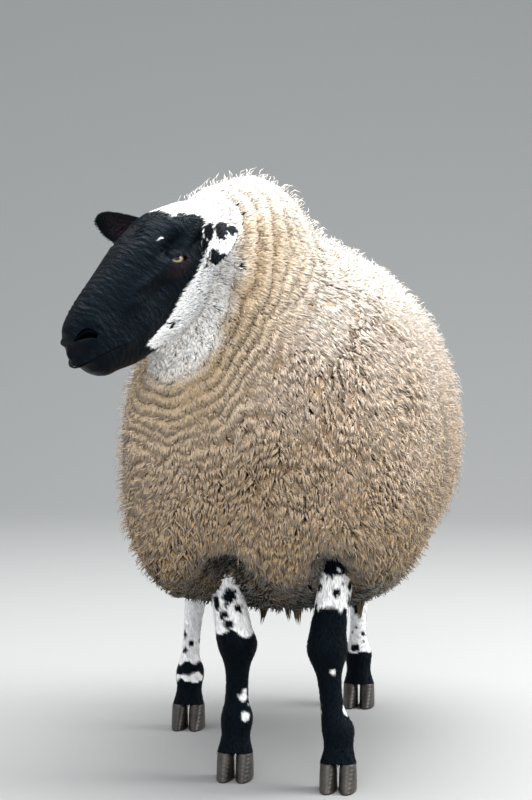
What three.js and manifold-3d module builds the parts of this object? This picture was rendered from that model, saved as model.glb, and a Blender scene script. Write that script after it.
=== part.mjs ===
// A standing sheep, life size: black face and feet, speckled shanks and a full cream fleece.
// Millimetres, +Z up. The sheep faces -Y with its head turned to its right (-X), its left side is +X,
// and it stands on the floor. Every flesh piece is a loft of oval rings; neighbours meet face to face.
import * as THREE from 'three';
import Module from 'manifold-3d';

const wasm = await Module();
wasm.setup();

// ---- Driving dimensions ------------------------------------------------------------------------

const GAP = 0.3; // clearance between a piece and the one it meets
const UPPER_BOXINESS = 0.98; // exponent of the trunk's ovals: 1 is an ellipse, less is squarer
const ROUNDNESS = 0.94; // of neck, head and legs, slightly squarer than an ellipse
const LOWER_BOXINESS = 0.7; // the same below the widest level

const FLEECE_DEPTH = 70; // length of the wool from the skin to the tips
const CORE_DEPTH = FLEECE_DEPTH / 2; // how far the fleece's core lies below the tips
const CLUMP_SPACING = 100; // least distance between the middles of two rounded clumps of wool
const CLUMP_RADIUS = 80;
const CLUMP_ROOT = 50; // how far a clump's root lies below its tip
const CLUMP_PROUD = 5; // how far a clump's tip stands out of the mean surface
// A clump's rings from its tip down: radius, depth and lean, as shares
const CLUMP_RINGS = [[0.55, 0.15, 0.12], [0.98, 0.8, 0]];
const COLLAR_REACH = [128, 280]; // from the middle of the neck's end: no clumps within, full size beyond
const COLLAR_CLUMP = 0.6; // size of the clumps next to the short wool of the collar
const COLLAR_SHARE = [0.45, 0.72]; // where along the neck the clumped wool gives way to short wool
const SAMPLE_AREA = 500; // of the surface for each place where a clump might stand
const CLUMP_SEED = 7;
const CLUMP_SIDES = 6;
const CROWN_LEAN = 0.15; // of a clump's crown along the lie, as a share of its radius
const BACK_HEIGHT = 700; // above it the wool lies backwards, below it downwards

const UPRIGHT = [new THREE.Vector3(1, 0, 0), new THREE.Vector3(0, 1, 0), new THREE.Vector3(0, 0, 1)];

const POLL = [-125, -348, 832]; // top of the head between the ears
const HEAD_HEADING = -43; // degrees to the left of straight ahead, so minus is to the right
const HEAD_PITCH = -41; // degrees above level

const EYEBALL_RADIUS = 14.5;
const EYE_PLACE = [84, 45, -25]; // along the head, to its side, above its top line
const LID_HALVES = [20, 16.5, 16.5]; // of the closed lids: along, up, across
const EYE_OPENING = [25, 13]; // length and height between the lids

// Forms of the head on both its sides: place along, aside and above, spread the same three ways, rise
const HEAD_FORMS = {
  brow: [[70, 50, -6], [26, 15, 13], 9],
  socket: [[94, 60, -36], [24, 20, 18], -4],
  tearGroove: [[132, 50, -34], [34, 14, 11], -5],
  cheek: [[112, 52, -84], [44, 22, 26], 6],
  cheekHollow: [[176, 42, -62], [26, 16, 20], -4],
  nostrilWing: [[246, 32, -16], [17, 14, 13], 6],
  noseFront: [[266, 10, -20], [12, 16, 10], 2],
  lipNotch: [[268, 0, -34], [16, 30, 6], -10],
  upperLip: [[254, 18, -46], [20, 20, 9], 4],
  mouthCorner: [[214, 38, -64], [18, 14, 8], -4],
  chin: [[238, 0, -84], [22, 30, 15], 3],
};
const NOSTRIL = { front: [266, 12, -13], rear: [242, 36, -20], halves: [15, 6, 10] };
// The line between the lips: its front and corner, each along and above, its gape, depth and half length
const MOUTH = { front: [284, -46], corner: [214, -64], gape: 2.6, depth: 6, width: 80 };
const DEWCLAW = { apart: 11, height: 76, halves: [7, 7, 12] };

const EAR_WIDTH = 52;
const EAR_THICKNESS = 5;
const EAR_CLEARANCE = 0.5; // wider than GAP, for the curl of the leaf
const EAR_ROOT = [26, 47, -23]; // just inside the head's side

// The ear's leaf from root to tip: share of the length, share of the width, depth of the cup
const EAR_LEAF = [
  [0, 0.5, 1],
  [0.14, 0.7, 6],
  [0.32, 0.94, 10],
  [0.52, 1, 9],
  [0.72, 0.86, 6],
  [0.88, 0.5, 3],
  [0.99, 0.12, 0],
];

const TAIL_MIDDLE = [4, 474, 552];
const TAIL_HALVES = [46, 42, 90];
const TAIL_CORE = 14; // how far the tail's core lies below its own tips
const TAIL_ROOM = 12; // how far the space cut for the tail reaches beyond it
const TAIL_CLUMP = 0.48; // size beside a clump of the body
const TAIL_SPREAD = [28, 36, 65]; // reach of the clumps' tips from its middle: across, back, up
// Where each clump of the tail sits, across and up, as shares of that reach
const TAIL_TUFTS = [[0, 0.9], [-0.8, 0.3], [0.8, 0.2], [0, -0.25], [-0.6, -0.85], [0.6, -0.95]];

// Locks that hang below the belly: x, y, height of the root, length, width
const BELLY_LOCKS = [
  [-35, -150, 268, 62, 15],
  [-10, -120, 266, 48, 14],
  [8, -165, 268, 52, 12],
  [24, -140, 268, 64, 15],
  [60, -60, 262, 44, 14],
  [118, -205, 290, 66, 14],
  [-70, -60, 262, 46, 13],
  [30, 60, 262, 48, 15],
];
const LOCK_WAVE = 5; // how far a hanging lock bends to its sides

const HOOF_HEIGHT = 40;
const HOOF_TOE = 38; // sole in front of the foot's centre
const HOOF_HEEL = 24; // sole behind it
const WALL_HEIGHT = 14; // upright part of the toe's wall, and how far the toe leans back over it
const WALL_SLOPE = 7;
const CLAW_WIDTH = 25;
const CLEFT = 3; // between the two claws

// Trunk, over the tips of the fleece: y, x of the middle, half width, top, widest level, bottom
const TRUNK = [
  [-405, -22, 40, 560, 470, 400],
  [-385, -18, 128, 640, 466, 332],
  [-330, -12, 190, 726, 463, 268],
  [-240, -2, 226, 784, 460, 246],
  [-110, 0, 238, 792, 458, 236],
  [40, 0, 240, 780, 458, 236],
  [190, 0, 242, 772, 462, 242],
  [310, 2, 238, 764, 470, 266],
  [400, 4, 205, 740, 480, 310],
  [462, 4, 130, 680, 500, 372],
  [486, 4, 50, 590, 520, 450],
];

// Neck, over the wool: middle x, y, z, heading, pitch, half width, reach up, reach down
const NECK = [
  [0, -120, 520, 0, 30, 190, 200, 190],
  [-8, -200, 600, -8, 35, 160, 190, 190],
  [-38, -255, 680, -20, 34, 112, 176, 185],
  [-62, -290, 735, -32, 26, 94, 156, 165],
  [-88, -316, 762, -41, 14, 88, 108, 132],
  [-101, -326, 771, -43, 2, 78, 86, 100],
  [-109, -334, 772, -43, 2, 66, 72, 88],
];

// Head: place along it, top line, half width, widest level, underside
const HEAD = [
  [-34, -20, 30, -60, -96],
  [-22, 0, 48, -52, -116],
  [8, 16, 57, -44, -126],
  [48, 28, 61, -36, -132],
  [86, 29, 60, -34, -134],
  [122, 30, 52, -36, -129],
  [160, 25, 46, -40, -120],
  [200, 20, 39, -44, -113],
  [232, 14, 36, -45, -100],
  [254, -1, 32, -46, -86],
  [267, -15, 23, -48, -74],
  [272, -33, 9, -50, -62],
];

// Legs, from the top of the hoof up: height, x, y of the middle, half width, reach forward, reach back
const LEGS = {
  front_right: [
    [40, -59, -259, 26, 17, 22],
    [62, -59, -253, 21, 17, 20],
    [88, -58, -247, 23, 21, 27],
    [118, -58, -246, 17, 17, 19],
    [160, -57, -247, 18, 18, 19],
    [196, -57, -249, 29, 27, 24],
    [228, -64, -248, 26, 26, 25],
    [280, -72, -245, 25, 30, 34],
    [340, -74, -240, 38, 48, 54],
    [400, -80, -232, 46, 62, 66],
  ],
  front_left: [
    [40, 98, -321, 26, 17, 22],
    [62, 98, -315, 21, 17, 20],
    [88, 96, -308, 23, 21, 27],
    [118, 88, -304, 17, 17, 19],
    [160, 83, -300, 18, 18, 19],
    [196, 80, -298, 29, 27, 24],
    [228, 81, -294, 26, 26, 25],
    [280, 88, -284, 25, 30, 34],
    [340, 92, -268, 38, 48, 54],
    [400, 90, -250, 46, 62, 66],
  ],
  hind_right: [
    [40, -188, 128, 25, 17, 22],
    [62, -188, 137, 20, 17, 20],
    [90, -188, 147, 22, 20, 26],
    [122, -188, 155, 14, 16, 19],
    [180, -185, 170, 15, 17, 21],
    [226, -181, 186, 20, 22, 28],
    [262, -175, 198, 23, 26, 34],
    [296, -166, 196, 22, 36, 34],
    [340, -152, 184, 34, 58, 52],
    [400, -135, 172, 50, 84, 80],
  ],
  hind_left: [
    [40, 70, 361, 25, 17, 22],
    [62, 69, 368, 20, 17, 20],
    [90, 68, 376, 22, 20, 26],
    [122, 67, 381, 14, 16, 19],
    [180, 68, 387, 15, 17, 21],
    [226, 70, 393, 20, 22, 28],
    [262, 76, 396, 23, 26, 34],
    [296, 86, 384, 22, 36, 34],
    [340, 98, 356, 34, 58, 52],
    [400, 106, 324, 50, 84, 80],
  ],
};

// How each ear is held: the place its middle line bends towards, its tip, and the way its outside faces,
// all along, left and up of the head
const EAR_POSES = {
  left: { side: 1, bend: [30, 122, -19], tip: [90, 143, -30], outside: [0, 0.08, 1] },
  right: { side: -1, bend: [27, -117, -21], tip: [23, -179, -1], outside: [-0.93, 0, -0.36] },
};

// Cuts that part the fleece: a plane's normal and its distance from the origin
const NECK_CUT = { normal: [-0.17, -0.64, 0.74], offset: 615 };
const CHEST_CUT = { normal: [0, -1, 0], offset: 130 };
const RUMP_CUT = { normal: [0, -1, 0], offset: -175 };

// ---- Small helpers -----------------------------------------------------------------------------

const radians = THREE.MathUtils.degToRad;
const vector = (values) => new THREE.Vector3(...values);

/** A row between two rows of a table, at position u from 0 to 1, on a Catmull-Rom curve. */
function rowAt(table, u) {
  const place = u * (table.length - 1);
  const first = Math.min(Math.floor(place), table.length - 2);
  const t = place - first;
  const a = table[Math.max(first - 1, 0)];
  const b = table[first];
  const c = table[first + 1];
  const d = table[Math.min(first + 2, table.length - 1)];
  return b.map((value, i) => {
    const slopeIn = (c[i] - a[i]) / 2;
    const slopeOut = (d[i] - b[i]) / 2;
    const rise = c[i] - value;
    const bend = 3 * rise - 2 * slopeIn - slopeOut;
    return value + t * (slopeIn + t * (bend + t * (slopeIn + slopeOut - 2 * rise)));
  });
}

/** A manifold solid from vertices and triangles, with its faces turned out. */
function solidOf(points, triangles) {
  let volume = 0;
  for (const [a, b, c] of triangles) {
    volume += points[a].dot(points[b].clone().cross(points[c]));
  }
  const faces = volume < 0 ? triangles.map(([a, b, c]) => [a, c, b]) : triangles;
  return new wasm.Manifold(new wasm.Mesh({
    numProp: 3,
    vertProperties: Float32Array.from(points.flatMap((point) => point.toArray())),
    triVerts: Uint32Array.from(faces.flat()),
  }));
}

/** The middle of a ring of points. */
function middleOf(ring) {
  return ring.reduce((sum, point) => sum.addScaledVector(point, 1 / ring.length), new THREE.Vector3());
}

/** A solid skinned over rings of points, closed at each end by a fan to a tip, or to the ring's middle. */
function skin(rings, tips = [middleOf(rings[0]), middleOf(rings.at(-1))]) {
  const sides = rings[0].length;
  const points = [...rings.flat(), ...tips];
  const triangles = [];
  for (let ring = 0; ring < rings.length - 1; ring += 1) {
    for (let side = 0; side < sides; side += 1) {
      const next = (side + 1) % sides;
      const [a, b] = [ring * sides + side, ring * sides + next];
      triangles.push([a, b, b + sides], [a, b + sides, a + sides]);
    }
  }
  const firstTip = rings.length * sides;
  for (let side = 0; side < sides; side += 1) {
    const next = (side + 1) % sides;
    triangles.push([firstTip, next, side]);
    triangles.push([firstTip + 1, firstTip - sides + side, firstTip - sides + next]);
  }
  return solidOf(points, triangles);
}

/** Height of a rounded box's outline: the sine or cosine of an angle, raised to a power. */
function squared(value, power) {
  return Math.sign(value) * Math.abs(value) ** power;
}

/** One oval ring about a centre: half width to the sides, and unlike reaches and squareness up and down. */
function oval(centre, side, up, half, above, below, sides, powerAbove = 1, powerBelow = powerAbove) {
  return Array.from({ length: sides }, (_, i) => {
    const angle = (2 * Math.PI * (i + 0.5)) / sides;
    const [reach, power] = Math.sin(angle) > 0 ? [above, powerAbove] : [below, powerBelow];
    return centre.clone()
      .addScaledVector(side, squared(Math.cos(angle), power) * half)
      .addScaledVector(up, squared(Math.sin(angle), power) * reach);
  });
}

/** Rings along a table, made by ringOf(row), with the two end rings drawn apart by grow. */
function ringsAlong(table, count, ringOf, grow) {
  const rings = Array.from({ length: count }, (_, i) => ringOf(rowAt(table, i / (count - 1))));
  for (const [end, inner] of [[0, 1], [count - 1, count - 2]]) {
    const away = middleOf(rings[end]).sub(middleOf(rings[inner])).setLength(grow);
    rings[end].forEach((point) => point.add(away));
  }
  return rings;
}

/** Unit vectors of something that faces a heading and a pitch: forward, left and up. */
function axesFacing(heading, pitch) {
  const [h, p] = [radians(heading), radians(pitch)];
  const forward = new THREE.Vector3(Math.sin(h) * Math.cos(p), -Math.cos(h) * Math.cos(p), Math.sin(p));
  const left = new THREE.Vector3(Math.cos(h), Math.sin(h), 0);
  return { forward, left, up: new THREE.Vector3().crossVectors(forward, left) };
}

const { forward: HEAD_FORWARD, left: HEAD_LEFT, up: HEAD_UP } = axesFacing(HEAD_HEADING, HEAD_PITCH);
const HEAD_AXES = [HEAD_FORWARD, HEAD_UP, HEAD_LEFT];

/** A point of the head from its place along the head, to its left and above its top line. */
function onHead([along, aside, above]) {
  return vector(POLL)
    .addScaledVector(HEAD_FORWARD, along)
    .addScaledVector(HEAD_LEFT, aside)
    .addScaledVector(HEAD_UP, above);
}

/** A direction given along the head, to its left and up. */
function headDirection([along, aside, above]) {
  return onHead([along, aside, above]).sub(onHead([0, 0, 0]));
}

/** An ellipsoid with its half axes along three unit vectors. */
function ellipsoid(centre, halves, [axisA, axisB, axisC], columns = 12, rows = 8) {
  const rings = [];
  for (let row = 1; row < rows; row += 1) {
    const angle = (Math.PI * row) / rows;
    const middle = centre.clone().addScaledVector(axisC, -Math.cos(angle) * halves[2]);
    const size = Math.sin(angle);
    rings.push(oval(middle, axisA, axisB, halves[0] * size, halves[1] * size, halves[1] * size, columns));
  }
  const pole = (end) => centre.clone().addScaledVector(axisC, end * halves[2]);
  return skin(rings, [pole(-1), pole(1)]);
}

// ---- Flesh and fleece --------------------------------------------------------------------------

/** One ring of the trunk's fleece from its row, drawn in by inset, also from the two ends. */
function trunkRing([y, x, half, top, widest, bottom], inset, sides) {
  const drawn = (reach) => reach - Math.min(inset, reach / 2);
  const level = THREE.MathUtils.clamp(y, TRUNK[0][0] + inset, TRUNK.at(-1)[0] - inset);
  return oval(
    new THREE.Vector3(x, level, widest), new THREE.Vector3(1, 0, 0), new THREE.Vector3(0, 0, 1),
    drawn(half), drawn(top - widest), drawn(widest - bottom), sides, UPPER_BOXINESS, LOWER_BOXINESS);
}

/** One ring of the neck's wool from its row, drawn in by inset. */
function neckRing([x, y, z, heading, pitch, half, above, below], inset, sides) {
  const { left, up } = axesFacing(heading, pitch);
  const centre = new THREE.Vector3(x, y, z);
  return oval(centre, left, up, half - inset, above - inset, below - inset, sides, ROUNDNESS);
}

/** Trunk and neck drawn in below the tips, except for the collar of short wool behind the head. */
function bodySolid(inset) {
  const trunk = ringsAlong(TRUNK, 18, (row) => trunkRing(row, inset, 20), 0);
  const neck = Array.from({ length: 12 }, (_, i) => {
    const u = i / 11;
    const clumped = 1 - THREE.MathUtils.smoothstep(u, ...COLLAR_SHARE);
    return neckRing(rowAt(NECK, u), inset * clumped, 20);
  });
  return skin(trunk).add(skin(neck));
}

/** A small seeded generator, the same numbers every time. */
function seededRandom(seed) {
  let state = seed;
  return () => {
    state = (Math.imul(state, 1664525) + 1013904223) >>> 0;
    return state / 4294967296;
  };
}

/** A rounded clump of wool: a dome of few sides that leans along the lie, its root sunk below the core. */
function clumpSolid(tip, normal, lie, size, turn) {
  const along = lie.clone().addScaledVector(normal, -lie.dot(normal)).normalize();
  const across = new THREE.Vector3().crossVectors(normal, along);
  const rings = CLUMP_RINGS.map(([radius, depth, lean]) => Array.from({ length: CLUMP_SIDES }, (_, i) => {
    const angle = (i / CLUMP_SIDES) * 2 * Math.PI + turn;
    return tip.clone()
      .addScaledVector(along, size * CLUMP_RADIUS * (radius * Math.cos(angle) + lean))
      .addScaledVector(across, size * CLUMP_RADIUS * radius * Math.sin(angle))
      .addScaledVector(normal, -depth * CLUMP_ROOT);
  }));
  const crown = tip.clone().addScaledVector(along, size * CLUMP_RADIUS * CROWN_LEAN);
  const root = tip.clone().addScaledVector(normal, -CLUMP_ROOT);
  return skin(rings, [crown, root]);
}

/** Places a spacing apart over a solid's surface, each the farthest from those before it. */
function spreadOver(solid, sizeAt, random) {
  const { vertProperties, triVerts } = solid.getMesh();
  const corner = (i) => new THREE.Vector3().fromArray(vertProperties, 3 * triVerts[i]);
  const candidates = [];
  for (let i = 0; i < triVerts.length; i += 3) {
    const [a, b, c] = [corner(i), corner(i + 1), corner(i + 2)];
    const [edgeB, edgeC] = [b.clone().sub(a), c.clone().sub(a)];
    const normal = edgeB.clone().cross(edgeC);
    const count = Math.floor(normal.length() / 2 / SAMPLE_AREA + random());
    normal.normalize();
    for (let n = 0; n < count; n += 1) {
      let [u, v] = [random(), random()];
      if (u + v > 1) [u, v] = [1 - u, 1 - v];
      const point = a.clone().addScaledVector(edgeB, u).addScaledVector(edgeC, v);
      candidates.push({ point, normal, size: sizeAt(point), room: Infinity });
    }
  }
  const free = candidates.filter(({ size }) => size > 0);
  const places = [];
  let next = free[0];
  while (next.room > CLUMP_SPACING) {
    const chosen = next;
    places.push(chosen);
    free.forEach((other) => {
      other.room = Math.min(other.room, other.point.distanceTo(chosen.point) / other.size);
    });
    next = free.reduce((best, other) => (other.room > best.room ? other : best));
  }
  return places;
}

/** Size of a clump at a point: none on the collar of short wool, small beside it, full on the body. */
function clumpSizeAt(point) {
  const reach = point.distanceTo(vector(NECK.at(-1)));
  return reach < COLLAR_REACH[0] ? 0 : THREE.MathUtils.lerp(
    COLLAR_CLUMP, 1, THREE.MathUtils.smoothstep(reach, ...COLLAR_REACH));
}

/** The whole fleece: a core with rounded clumps set close over it, out to the tips. */
function fleeceSolid() {
  const random = seededRandom(CLUMP_SEED);
  const clumps = spreadOver(bodySolid(0), clumpSizeAt, random).map(({ point, normal, size }) => {
    const onBack = point.z > BACK_HEIGHT;
    const lie = new THREE.Vector3(0, onBack ? 1 : 0.2, onBack ? -0.4 : -1);
    const tip = point.clone().addScaledVector(normal, CLUMP_PROUD * size);
    return clumpSolid(tip, normal, lie, size * (0.94 + 0.12 * random()), random() * Math.PI);
  });
  return wasm.Manifold.union([bodySolid(CORE_DEPTH), ...clumps]);
}

/** The head's surface raised and hollowed by its named forms, away from the middle of its ring. */
function shaped(along, middleLevel, grow, point) {
  const outward = point.clone().sub(onHead([along, 0, middleLevel])).normalize();
  const offset = point.clone().sub(vector(POLL));
  const own = [HEAD_FORWARD, HEAD_LEFT, HEAD_UP].map((axis) => offset.dot(axis));
  const rise = Object.values(HEAD_FORMS).reduce((sum, [place, spread, height]) => {
    const parts = [own[0] - place[0], Math.abs(own[1]) - place[1], own[2] - place[2]];
    return sum + height * Math.exp(-parts.reduce((total, part, i) => total + (part / spread[i]) ** 2, 0));
  }, 0);
  return point.clone().addScaledVector(outward, rise + grow);
}

/** The head without its ears, grown by a clearance. */
function headSolid(grow, rings = 27, sides = 24) {
  const ringOf = ([along, top, half, widest, under]) => oval(
    onHead([along, 0, widest]), HEAD_LEFT, HEAD_UP, half, top - widest, widest - under, sides, ROUNDNESS)
    .map((point) => shaped(along, widest, grow, point));
  return skin(ringsAlong(HEAD, rings, ringOf, grow));
}

/** A leg from the top of its hoof to inside the fleece, grown by a clearance. */
function legSolid(rows, grow, rings = 17, sides = 10) {
  const ringOf = ([height, x, y, half, front, back]) => oval(
    new THREE.Vector3(x, y, height), new THREE.Vector3(1, 0, 0), new THREE.Vector3(0, -1, 0),
    half + grow, front + grow, back + grow, sides, ROUNDNESS);
  return skin(ringsAlong(rows, rings, ringOf, grow));
}

/** One claw of a hoof, side -1 or 1 of the foot's middle, flat below and above. */
function clawSolid(row, side) {
  const [, x, y] = row;
  const middle = x + side * (CLEFT + CLAW_WIDTH) / 2;
  const [, , , , ankleFront, ankleBack] = row;
  const levels = [
    [0, HOOF_TOE, HOOF_HEEL, 0.5],
    [WALL_HEIGHT, HOOF_TOE - WALL_SLOPE, HOOF_HEEL, 0.5],
    [HOOF_HEIGHT - GAP, ankleFront, ankleBack - 1, 0.46],
  ];
  return skin(levels.map(([height, toe, heel, share]) => oval(
    new THREE.Vector3(middle, y, height), new THREE.Vector3(1, 0, 0), new THREE.Vector3(0, -1, 0),
    CLAW_WIDTH * share, toe, heel, 12, 0.8)));
}

/** An ear: a leaf cupped along its length, from inside the head out to its tip. */
function earSolid({ side, bend, tip, outside }, grow) {
  const root = onHead([EAR_ROOT[0], side * EAR_ROOT[1], EAR_ROOT[2]]);
  const line = new THREE.QuadraticBezierCurve3(root, onHead(bend), onHead(tip));
  const ringOf = ([u, share, cup]) => {
    const centre = line.getPoint(u);
    const length = line.getTangent(u);
    const across = new THREE.Vector3().crossVectors(length, headDirection(outside)).normalize();
    const back = new THREE.Vector3().crossVectors(across, length).normalize();
    const thick = EAR_THICKNESS / 2 * (1 - 0.4 * u);
    const face = (outward) => [-1, -0.6, -0.2, 0.2, 0.6, 1].map((v) => centre.clone()
      .addScaledVector(across, v * share * EAR_WIDTH / 2 + Math.trunc(v) * grow)
      .addScaledVector(back, cup * (0.5 - 1.4 * v * v))
      .addScaledVector(back, outward * (thick * Math.sqrt(1.15 - v * v) + grow)));
    return [...face(1), ...face(-1).reverse()];
  };
  return skin(ringsAlong(EAR_LEAF, 9, ringOf, grow));
}

/** The docked tail's own core and its clumps of wool, hanging against the rump. */
function tailSolid() {
  const core = ellipsoid(vector(TAIL_MIDDLE), TAIL_HALVES.map((half) => half - TAIL_CORE), UPRIGHT, 8, 6);
  const tips = TAIL_TUFTS.map(([across, height]) => {
    const outward = new THREE.Vector3(0.6 * across, 1, 0.3 * height).normalize();
    const tip = vector(TAIL_MIDDLE).add(new THREE.Vector3(
      across * TAIL_SPREAD[0], TAIL_SPREAD[1], height * TAIL_SPREAD[2]));
    return clumpSolid(tip, outward, new THREE.Vector3(0, 0, -1), TAIL_CLUMP, across + height);
  });
  return wasm.Manifold.union([core, ...tips]);
}

/** The body of space that holds the tail and its root, grown by a clearance. */
function tailRegion(grow) {
  const centre = vector(TAIL_MIDDLE).add(new THREE.Vector3(0, TAIL_ROOM / 2, 0));
  return ellipsoid(centre, TAIL_HALVES.map((half) => half + TAIL_ROOM + grow), UPRIGHT, 12, 8);
}

/** A flat, tapered lock of dirty wool that hangs below the belly. */
function hangingLock([x, y, top, length, width], turn) {
  const side = new THREE.Vector3(Math.cos(turn), Math.sin(turn), 0);
  const depth = new THREE.Vector3(-Math.sin(turn), Math.cos(turn), 0);
  const rings = [[0, 1], [0.55, 0.8], [0.85, 0.45], [1, 0.08]].map(([down, share]) => {
    const centre = new THREE.Vector3(x, y, top - down * length)
      .addScaledVector(side, LOCK_WAVE * Math.sin(3 * down + turn));
    return oval(centre, side, depth, share * width / 2, share * width / 4, share * width / 4, 4);
  });
  return skin(rings);
}

/** The hollow of a nostril: a slit that rises backwards round the side of the nose. */
function nostril(side) {
  const ends = [NOSTRIL.front, NOSTRIL.rear];
  const [front, rear] = ends.map(([along, aside, above]) => onHead([along, side * aside, above]));
  const slit = rear.clone().sub(front).normalize();
  const inward = new THREE.Vector3().crossVectors(slit, HEAD_UP).normalize();
  const across = new THREE.Vector3().crossVectors(inward, slit);
  return ellipsoid(front.add(rear).multiplyScalar(0.5), NOSTRIL.halves, [slit, across, inward], 8, 6);
}

/** The line of the mouth: a thin plate from the front of the lips to their corners, as deep as the lips. */
function mouthLine() {
  const half = MOUTH.gape / 2;
  const rings = [[MOUTH.corner, 0.2], [MOUTH.front, 1]].map(([[along, above], share]) => [
    onHead([along, -MOUTH.width, above - half * share]),
    onHead([along, MOUTH.width, above - half * share]),
    onHead([along, MOUTH.width, above + half * share]),
    onHead([along, -MOUTH.width, above + half * share]),
  ]);
  return skin(rings).subtract(headSolid(-MOUTH.depth));
}

// ---- Putting the animal together ---------------------------------------------------------------

/** The piece of a solid between two planes across it, each a half gap away. */
function between(solid, front, rear) {
  let part = solid;
  if (front) part = part.trimByPlane(front.normal, front.offset + GAP / 2);
  if (rear) part = part.trimByPlane(rear.normal.map((n) => -n), -rear.offset + GAP / 2);
  return part;
}

/** The largest closed surface of a solid. */
function largest(solid) {
  return solid.decompose().sort((a, b) => b.volume() - a.volume())[0];
}

const sheep = new THREE.Group();

/** Adds a named mesh of a solid to the sheep. */
function add(name, solid, material) {
  const mesh = largest(solid).getMesh();
  const geometry = new THREE.BufferGeometry();
  geometry.setAttribute('position', new THREE.BufferAttribute(Float32Array.from(mesh.vertProperties), 3));
  geometry.setIndex(Array.from(mesh.triVerts));
  const piece = new THREE.Mesh(geometry, material);
  piece.name = name;
  sheep.add(piece);
}

/** A plain matt or glossy material of one colour. */
function materialOf(name, color, roughness) {
  return new THREE.MeshStandardMaterial({ name, color, roughness, metalness: 0 });
}

const fleeceMaterial = materialOf('fleece', 0xd8c8ab, 0.95);
const faceMaterial = materialOf('face', 0x1b1c20, 0.7);
const shankMaterial = materialOf('shank', 0x2a2a2c, 0.8);
const hornMaterial = materialOf('hoof', 0x26221f, 0.6);
const eyeMaterial = materialOf('eye', 0x8a6a34, 0.15);

const legPassages = Object.values(LEGS).map((rows) => legSolid(rows, GAP));
const earPassages = Object.values(EAR_POSES).map((pose) => earSolid(pose, EAR_CLEARANCE));
const hanging = BELLY_LOCKS.map((row, i) => hangingLock(row, 1.3 * i));
const wool = wasm.Manifold.union([fleeceSolid(), tailSolid(), ...hanging]);
const fleece = wool.subtract(wasm.Manifold.union([headSolid(GAP), ...legPassages, ...earPassages]));

const trunkFleece = between(fleece, null, NECK_CUT);
const rearFleece = between(trunkFleece, null, RUMP_CUT);
add('neck', between(fleece, NECK_CUT, null), fleeceMaterial);
add('chest', between(trunkFleece, CHEST_CUT, null), fleeceMaterial);
add('barrel', between(trunkFleece, RUMP_CUT, CHEST_CUT), fleeceMaterial);
add('rump', rearFleece.subtract(tailRegion(GAP)), fleeceMaterial);
add('tail', rearFleece.intersect(tailRegion(0)), fleeceMaterial);

let head = headSolid(0).subtract(mouthLine());
for (const [name, pose] of Object.entries(EAR_POSES)) {
  const centre = onHead([EYE_PLACE[0], pose.side * EYE_PLACE[1], EYE_PLACE[2]]);
  const ball = (radius) => ellipsoid(centre, [radius, radius, radius], HEAD_AXES);
  const opening = ellipsoid(centre.clone().addScaledVector(HEAD_LEFT, pose.side * EYEBALL_RADIUS),
    [EYE_OPENING[0] / 2, EYE_OPENING[1] / 2, EYE_OPENING[0] / 2], HEAD_AXES);
  head = head.add(ellipsoid(centre, LID_HALVES, HEAD_AXES)).subtract(ball(EYEBALL_RADIUS + GAP));
  head = head.subtract(opening).subtract(nostril(pose.side));
  add(`eye_${name}`, ball(EYEBALL_RADIUS), eyeMaterial);
}
for (const [name, pose] of Object.entries(EAR_POSES)) {
  head = head.subtract(earSolid(pose, EAR_CLEARANCE));
  add(`ear_${name}`, earSolid(pose, 0), faceMaterial);
}
add('head', head, faceMaterial);

for (const [name, rows] of Object.entries(LEGS)) {
  const [, fetlockX, fetlockY, , , reach] = rows[2];
  const dewclaws = [-1, 1].map((side) => {
    const place = new THREE.Vector3(fetlockX + side * DEWCLAW.apart, fetlockY + reach, DEWCLAW.height);
    return ellipsoid(place, DEWCLAW.halves, UPRIGHT, 6, 4);
  });
  add(`leg_${name}`, wasm.Manifold.union([legSolid(rows, 0), ...dewclaws]), shankMaterial);
  for (const [claw, side] of [['right', -1], ['left', 1]]) {
    add(`hoof_${name}_${claw}`, clawSolid(rows[0], side), hornMaterial);
  }
}

const box = new THREE.Box3().setFromObject(sheep);
const middle = box.getCenter(new THREE.Vector3());
sheep.position.set(-middle.x, -middle.y, -box.min.z);

export default sheep;
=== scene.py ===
"""A standing sheep, life size: black face and feet, speckled shanks and a full cream fleece.

Metres, +Z up. The tables hold the sheep in its own frame: the origin on the floor below its middle, facing
-Y with its head turned to its right (-X), its left side towards +X. A finished mesh is moved from there into
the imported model's frame, whose origin is found from the left eyeball.
"""

import bpy
import numpy as np
from bpy.props import FloatProperty, FloatVectorProperty, IntProperty, PointerProperty
from mathutils import Matrix, Vector


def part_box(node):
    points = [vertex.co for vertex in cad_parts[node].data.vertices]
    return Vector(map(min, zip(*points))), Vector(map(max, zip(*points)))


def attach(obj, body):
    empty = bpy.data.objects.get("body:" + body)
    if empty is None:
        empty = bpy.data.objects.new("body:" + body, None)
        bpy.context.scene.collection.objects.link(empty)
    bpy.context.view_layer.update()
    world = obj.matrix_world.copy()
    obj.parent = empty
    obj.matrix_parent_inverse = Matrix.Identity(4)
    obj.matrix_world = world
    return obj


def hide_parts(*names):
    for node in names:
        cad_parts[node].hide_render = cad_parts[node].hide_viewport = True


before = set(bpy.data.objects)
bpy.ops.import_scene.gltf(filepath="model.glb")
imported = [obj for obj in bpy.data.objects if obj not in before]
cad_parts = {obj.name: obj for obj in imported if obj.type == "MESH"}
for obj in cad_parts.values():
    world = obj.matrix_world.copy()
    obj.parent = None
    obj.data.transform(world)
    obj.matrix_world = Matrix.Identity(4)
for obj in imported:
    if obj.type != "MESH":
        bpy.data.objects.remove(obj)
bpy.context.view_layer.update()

bl_info = {
    "name": "Standing Sheep",
    "version": (1, 0, 0),
    "blender": (4, 5, 0),
    "location": "3D View > Sidebar > Sheep",
    "description": "Dresses the packed sheep: skin, eyes, hooves, short hair and fleece",
    "category": "Add Mesh",
}

# ---- The animal's shape --------------------------------------------------------------------------

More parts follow.
